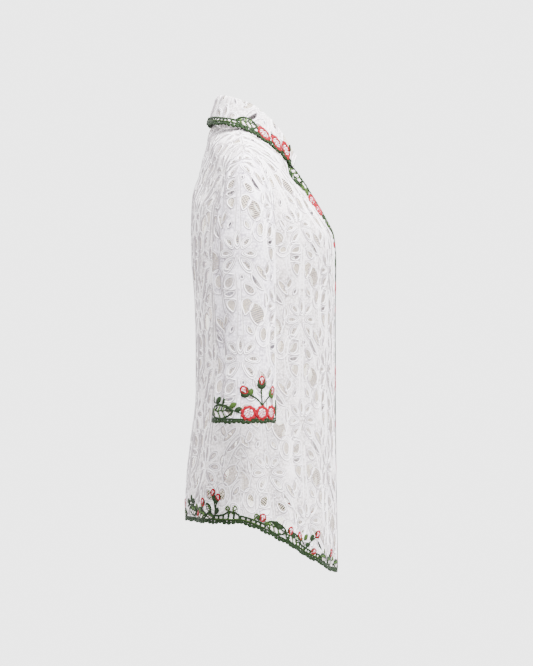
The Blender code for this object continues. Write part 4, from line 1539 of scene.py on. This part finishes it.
EMBROIDERY = {}
for side in ("left", "right"):
    front, cuff = PANELS[f"front_{side}"], PANELS[f"sleeve_{side}"]
    for part, kind, panel, path, layout, start, margin in (
            ("hem", "hem_front", front, front["flat"][-1, ::-1], HEM_FRONT, SEAM_START, -END_MARGIN),
            ("front", "front_edge", front, front["flat"][:, 0], FRONT_EDGE, FRONT_START, -END_MARGIN),
            ("cuff", "cuff", cuff, cuff["flat"][-1], CUFF, SEAM_START, END_MARGIN)):
        edge = edge_frame(panel, path)
        end = float(edge["run"][-1]) + margin
        sketch = sketch_for(layout, kind, start, end, BRAIDS[kind])
        EMBROIDERY[f"{part}_edging_{side}"] = embroider(f"embroidery_{part}_{side}",
                                                        [(panel, edge, sketch)])

back, collar = PANELS["back"], PANELS["collar"]
middle = back["flat"].shape[1] // 2
halves = (back["flat"][-1, : middle + 1], back["flat"][-1, middle:][::-1])
jobs = both_halves(back, halves, HEM_BACK, "hem_back", SEAM_START, HEM_BACK_END, peak)
EMBROIDERY["hem_edging_back"] = embroider("embroidery_hem_back", jobs)
middle = collar["flat"].shape[1] // 2
halves = (collar["flat"][-1, : middle + 1][::-1], collar["flat"][-1, middle:])
jobs = both_halves(collar, halves, COLLAR_EDGE, "collar", 0.0, COLLAR_END)
EMBROIDERY["collar_edging"] = embroider("embroidery_collar", jobs)

# %% [markdown]
# ## Attach the pieces
#
# Each piece rides with the blouse, and the solid it stands for is hidden.

# %% Ride and replace
for name, (tape, cord, bars) in LACE.items():
    for piece in (tape, cord, bars):
        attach(piece, "root")
    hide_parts(name)
    flat = PANELS[name]["flat"].reshape(-1, 2)
for node, piece in EMBROIDERY.items():
    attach(piece, "root")
    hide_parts(node)

# %% [markdown]
# ## Studio
#
# A bright backdrop stands behind the blouse and the room in front of it is dimmer, so the white
# cloth keeps its shading. A soft light high on the right picks out the raised cords, and a
# pale floor lies well below the hem.

# %% Backdrop
BACKDROP = 3.7
ROOM_SHARE = 0.42
CEILING = 2.2
ROOM_FROM, ROOM_TO = -0.3, 0.9
CEILING_FROM, CEILING_TO = 0.3, 0.9
world = bpy.data.worlds.new("studio")
bpy.context.scene.world = world
world.use_nodes = True
nodes, links = world.node_tree.nodes, world.node_tree.links
facing = nodes.new("ShaderNodeTexCoord")
parts = nodes.new("ShaderNodeSeparateXYZ")
depth_share, height_share = nodes.new("ShaderNodeMapRange"), nodes.new("ShaderNodeMapRange")
strength, level = multiply(nodes), multiply(nodes)
background = nodes["Background"]
set_inputs((depth_share, "From Min", ROOM_FROM), (depth_share, "From Max", ROOM_TO),
           (depth_share, "To Min", ROOM_SHARE), (depth_share, "To Max", 1.0),
           (height_share, "From Min", CEILING_FROM), (height_share, "From Max", CEILING_TO),
           (height_share, "To Min", 1.0), (height_share, "To Max", CEILING),
           (level, 1, BACKDROP), (background, "Color", (1.0, 1.0, 1.0, 1.0)))
wire(links, (facing, "Generated", parts, "Vector"), (parts, "X", depth_share, "Value"),
     (parts, "Z", height_share, "Value"), (depth_share, "Result", strength, 0),
     (height_share, "Result", strength, 1), (strength, "Value", level, 0),
     (level, "Value", background, "Strength"))

# %% Floor
FLOOR_RADIUS = 2.2
FLOOR_HEIGHT = -1.35
FLOOR_SIDES = 96
FLOOR_GREY = 0.62
turn = np.linspace(0.0, 2.0 * math.pi, FLOOR_SIDES, endpoint=False)
rim = np.stack([FLOOR_RADIUS * np.cos(turn), FLOOR_RADIUS * np.sin(turn),
                np.full(len(turn), FLOOR_HEIGHT)], -1)
floor_mesh = bpy.data.meshes.new("floor")
floor_mesh.from_pydata(rim.tolist(), [], [list(range(len(rim)))])
floor = bpy.data.objects.new("floor", floor_mesh)
bpy.context.collection.objects.link(floor)
pale = bpy.data.materials.new("floor_paint")
pale.use_nodes = True
paint = pale.node_tree.nodes["Principled BSDF"]
set_inputs((paint, "Base Color", (FLOOR_GREY, FLOOR_GREY, FLOOR_GREY, 1.0)), (paint, "Roughness", 1.0))
floor_mesh.materials.append(pale)

# %% Lights
TARGET = Vector((0.0, 0.0, -0.33))


def soft_light(name, place, size, power):
    """A round studio light that points at the blouse."""
    data = bpy.data.lights.new(name, "AREA")
    data.shape = "DISK"
    data.size = size
    data.energy = power
    light = bpy.data.objects.new(name, data)
    bpy.context.collection.objects.link(light)
    light.location = place
    light.rotation_euler = (TARGET - Vector(place)).to_track_quat("-Z", "Y").to_euler()


soft_light("key", (-1.3, -1.0, 1.8), 0.7, 230.0)
soft_light("graze", (-0.7, -0.2, 1.2), 0.5, 60.0)

# %% Camera
CAMERA_DISTANCE = 3.0
CAMERA_ASIDE = -0.0272
CAMERA_HEIGHT = -0.3317
LENS = 98.27
camera_data = bpy.data.cameras.new("camera")
camera_data.lens = LENS
camera = bpy.data.objects.new("camera", camera_data)
bpy.context.collection.objects.link(camera)
camera.location = (-CAMERA_DISTANCE, CAMERA_ASIDE, CAMERA_HEIGHT)
camera.rotation_euler = (QUARTER, 0.0, -QUARTER)
bpy.context.scene.camera = camera
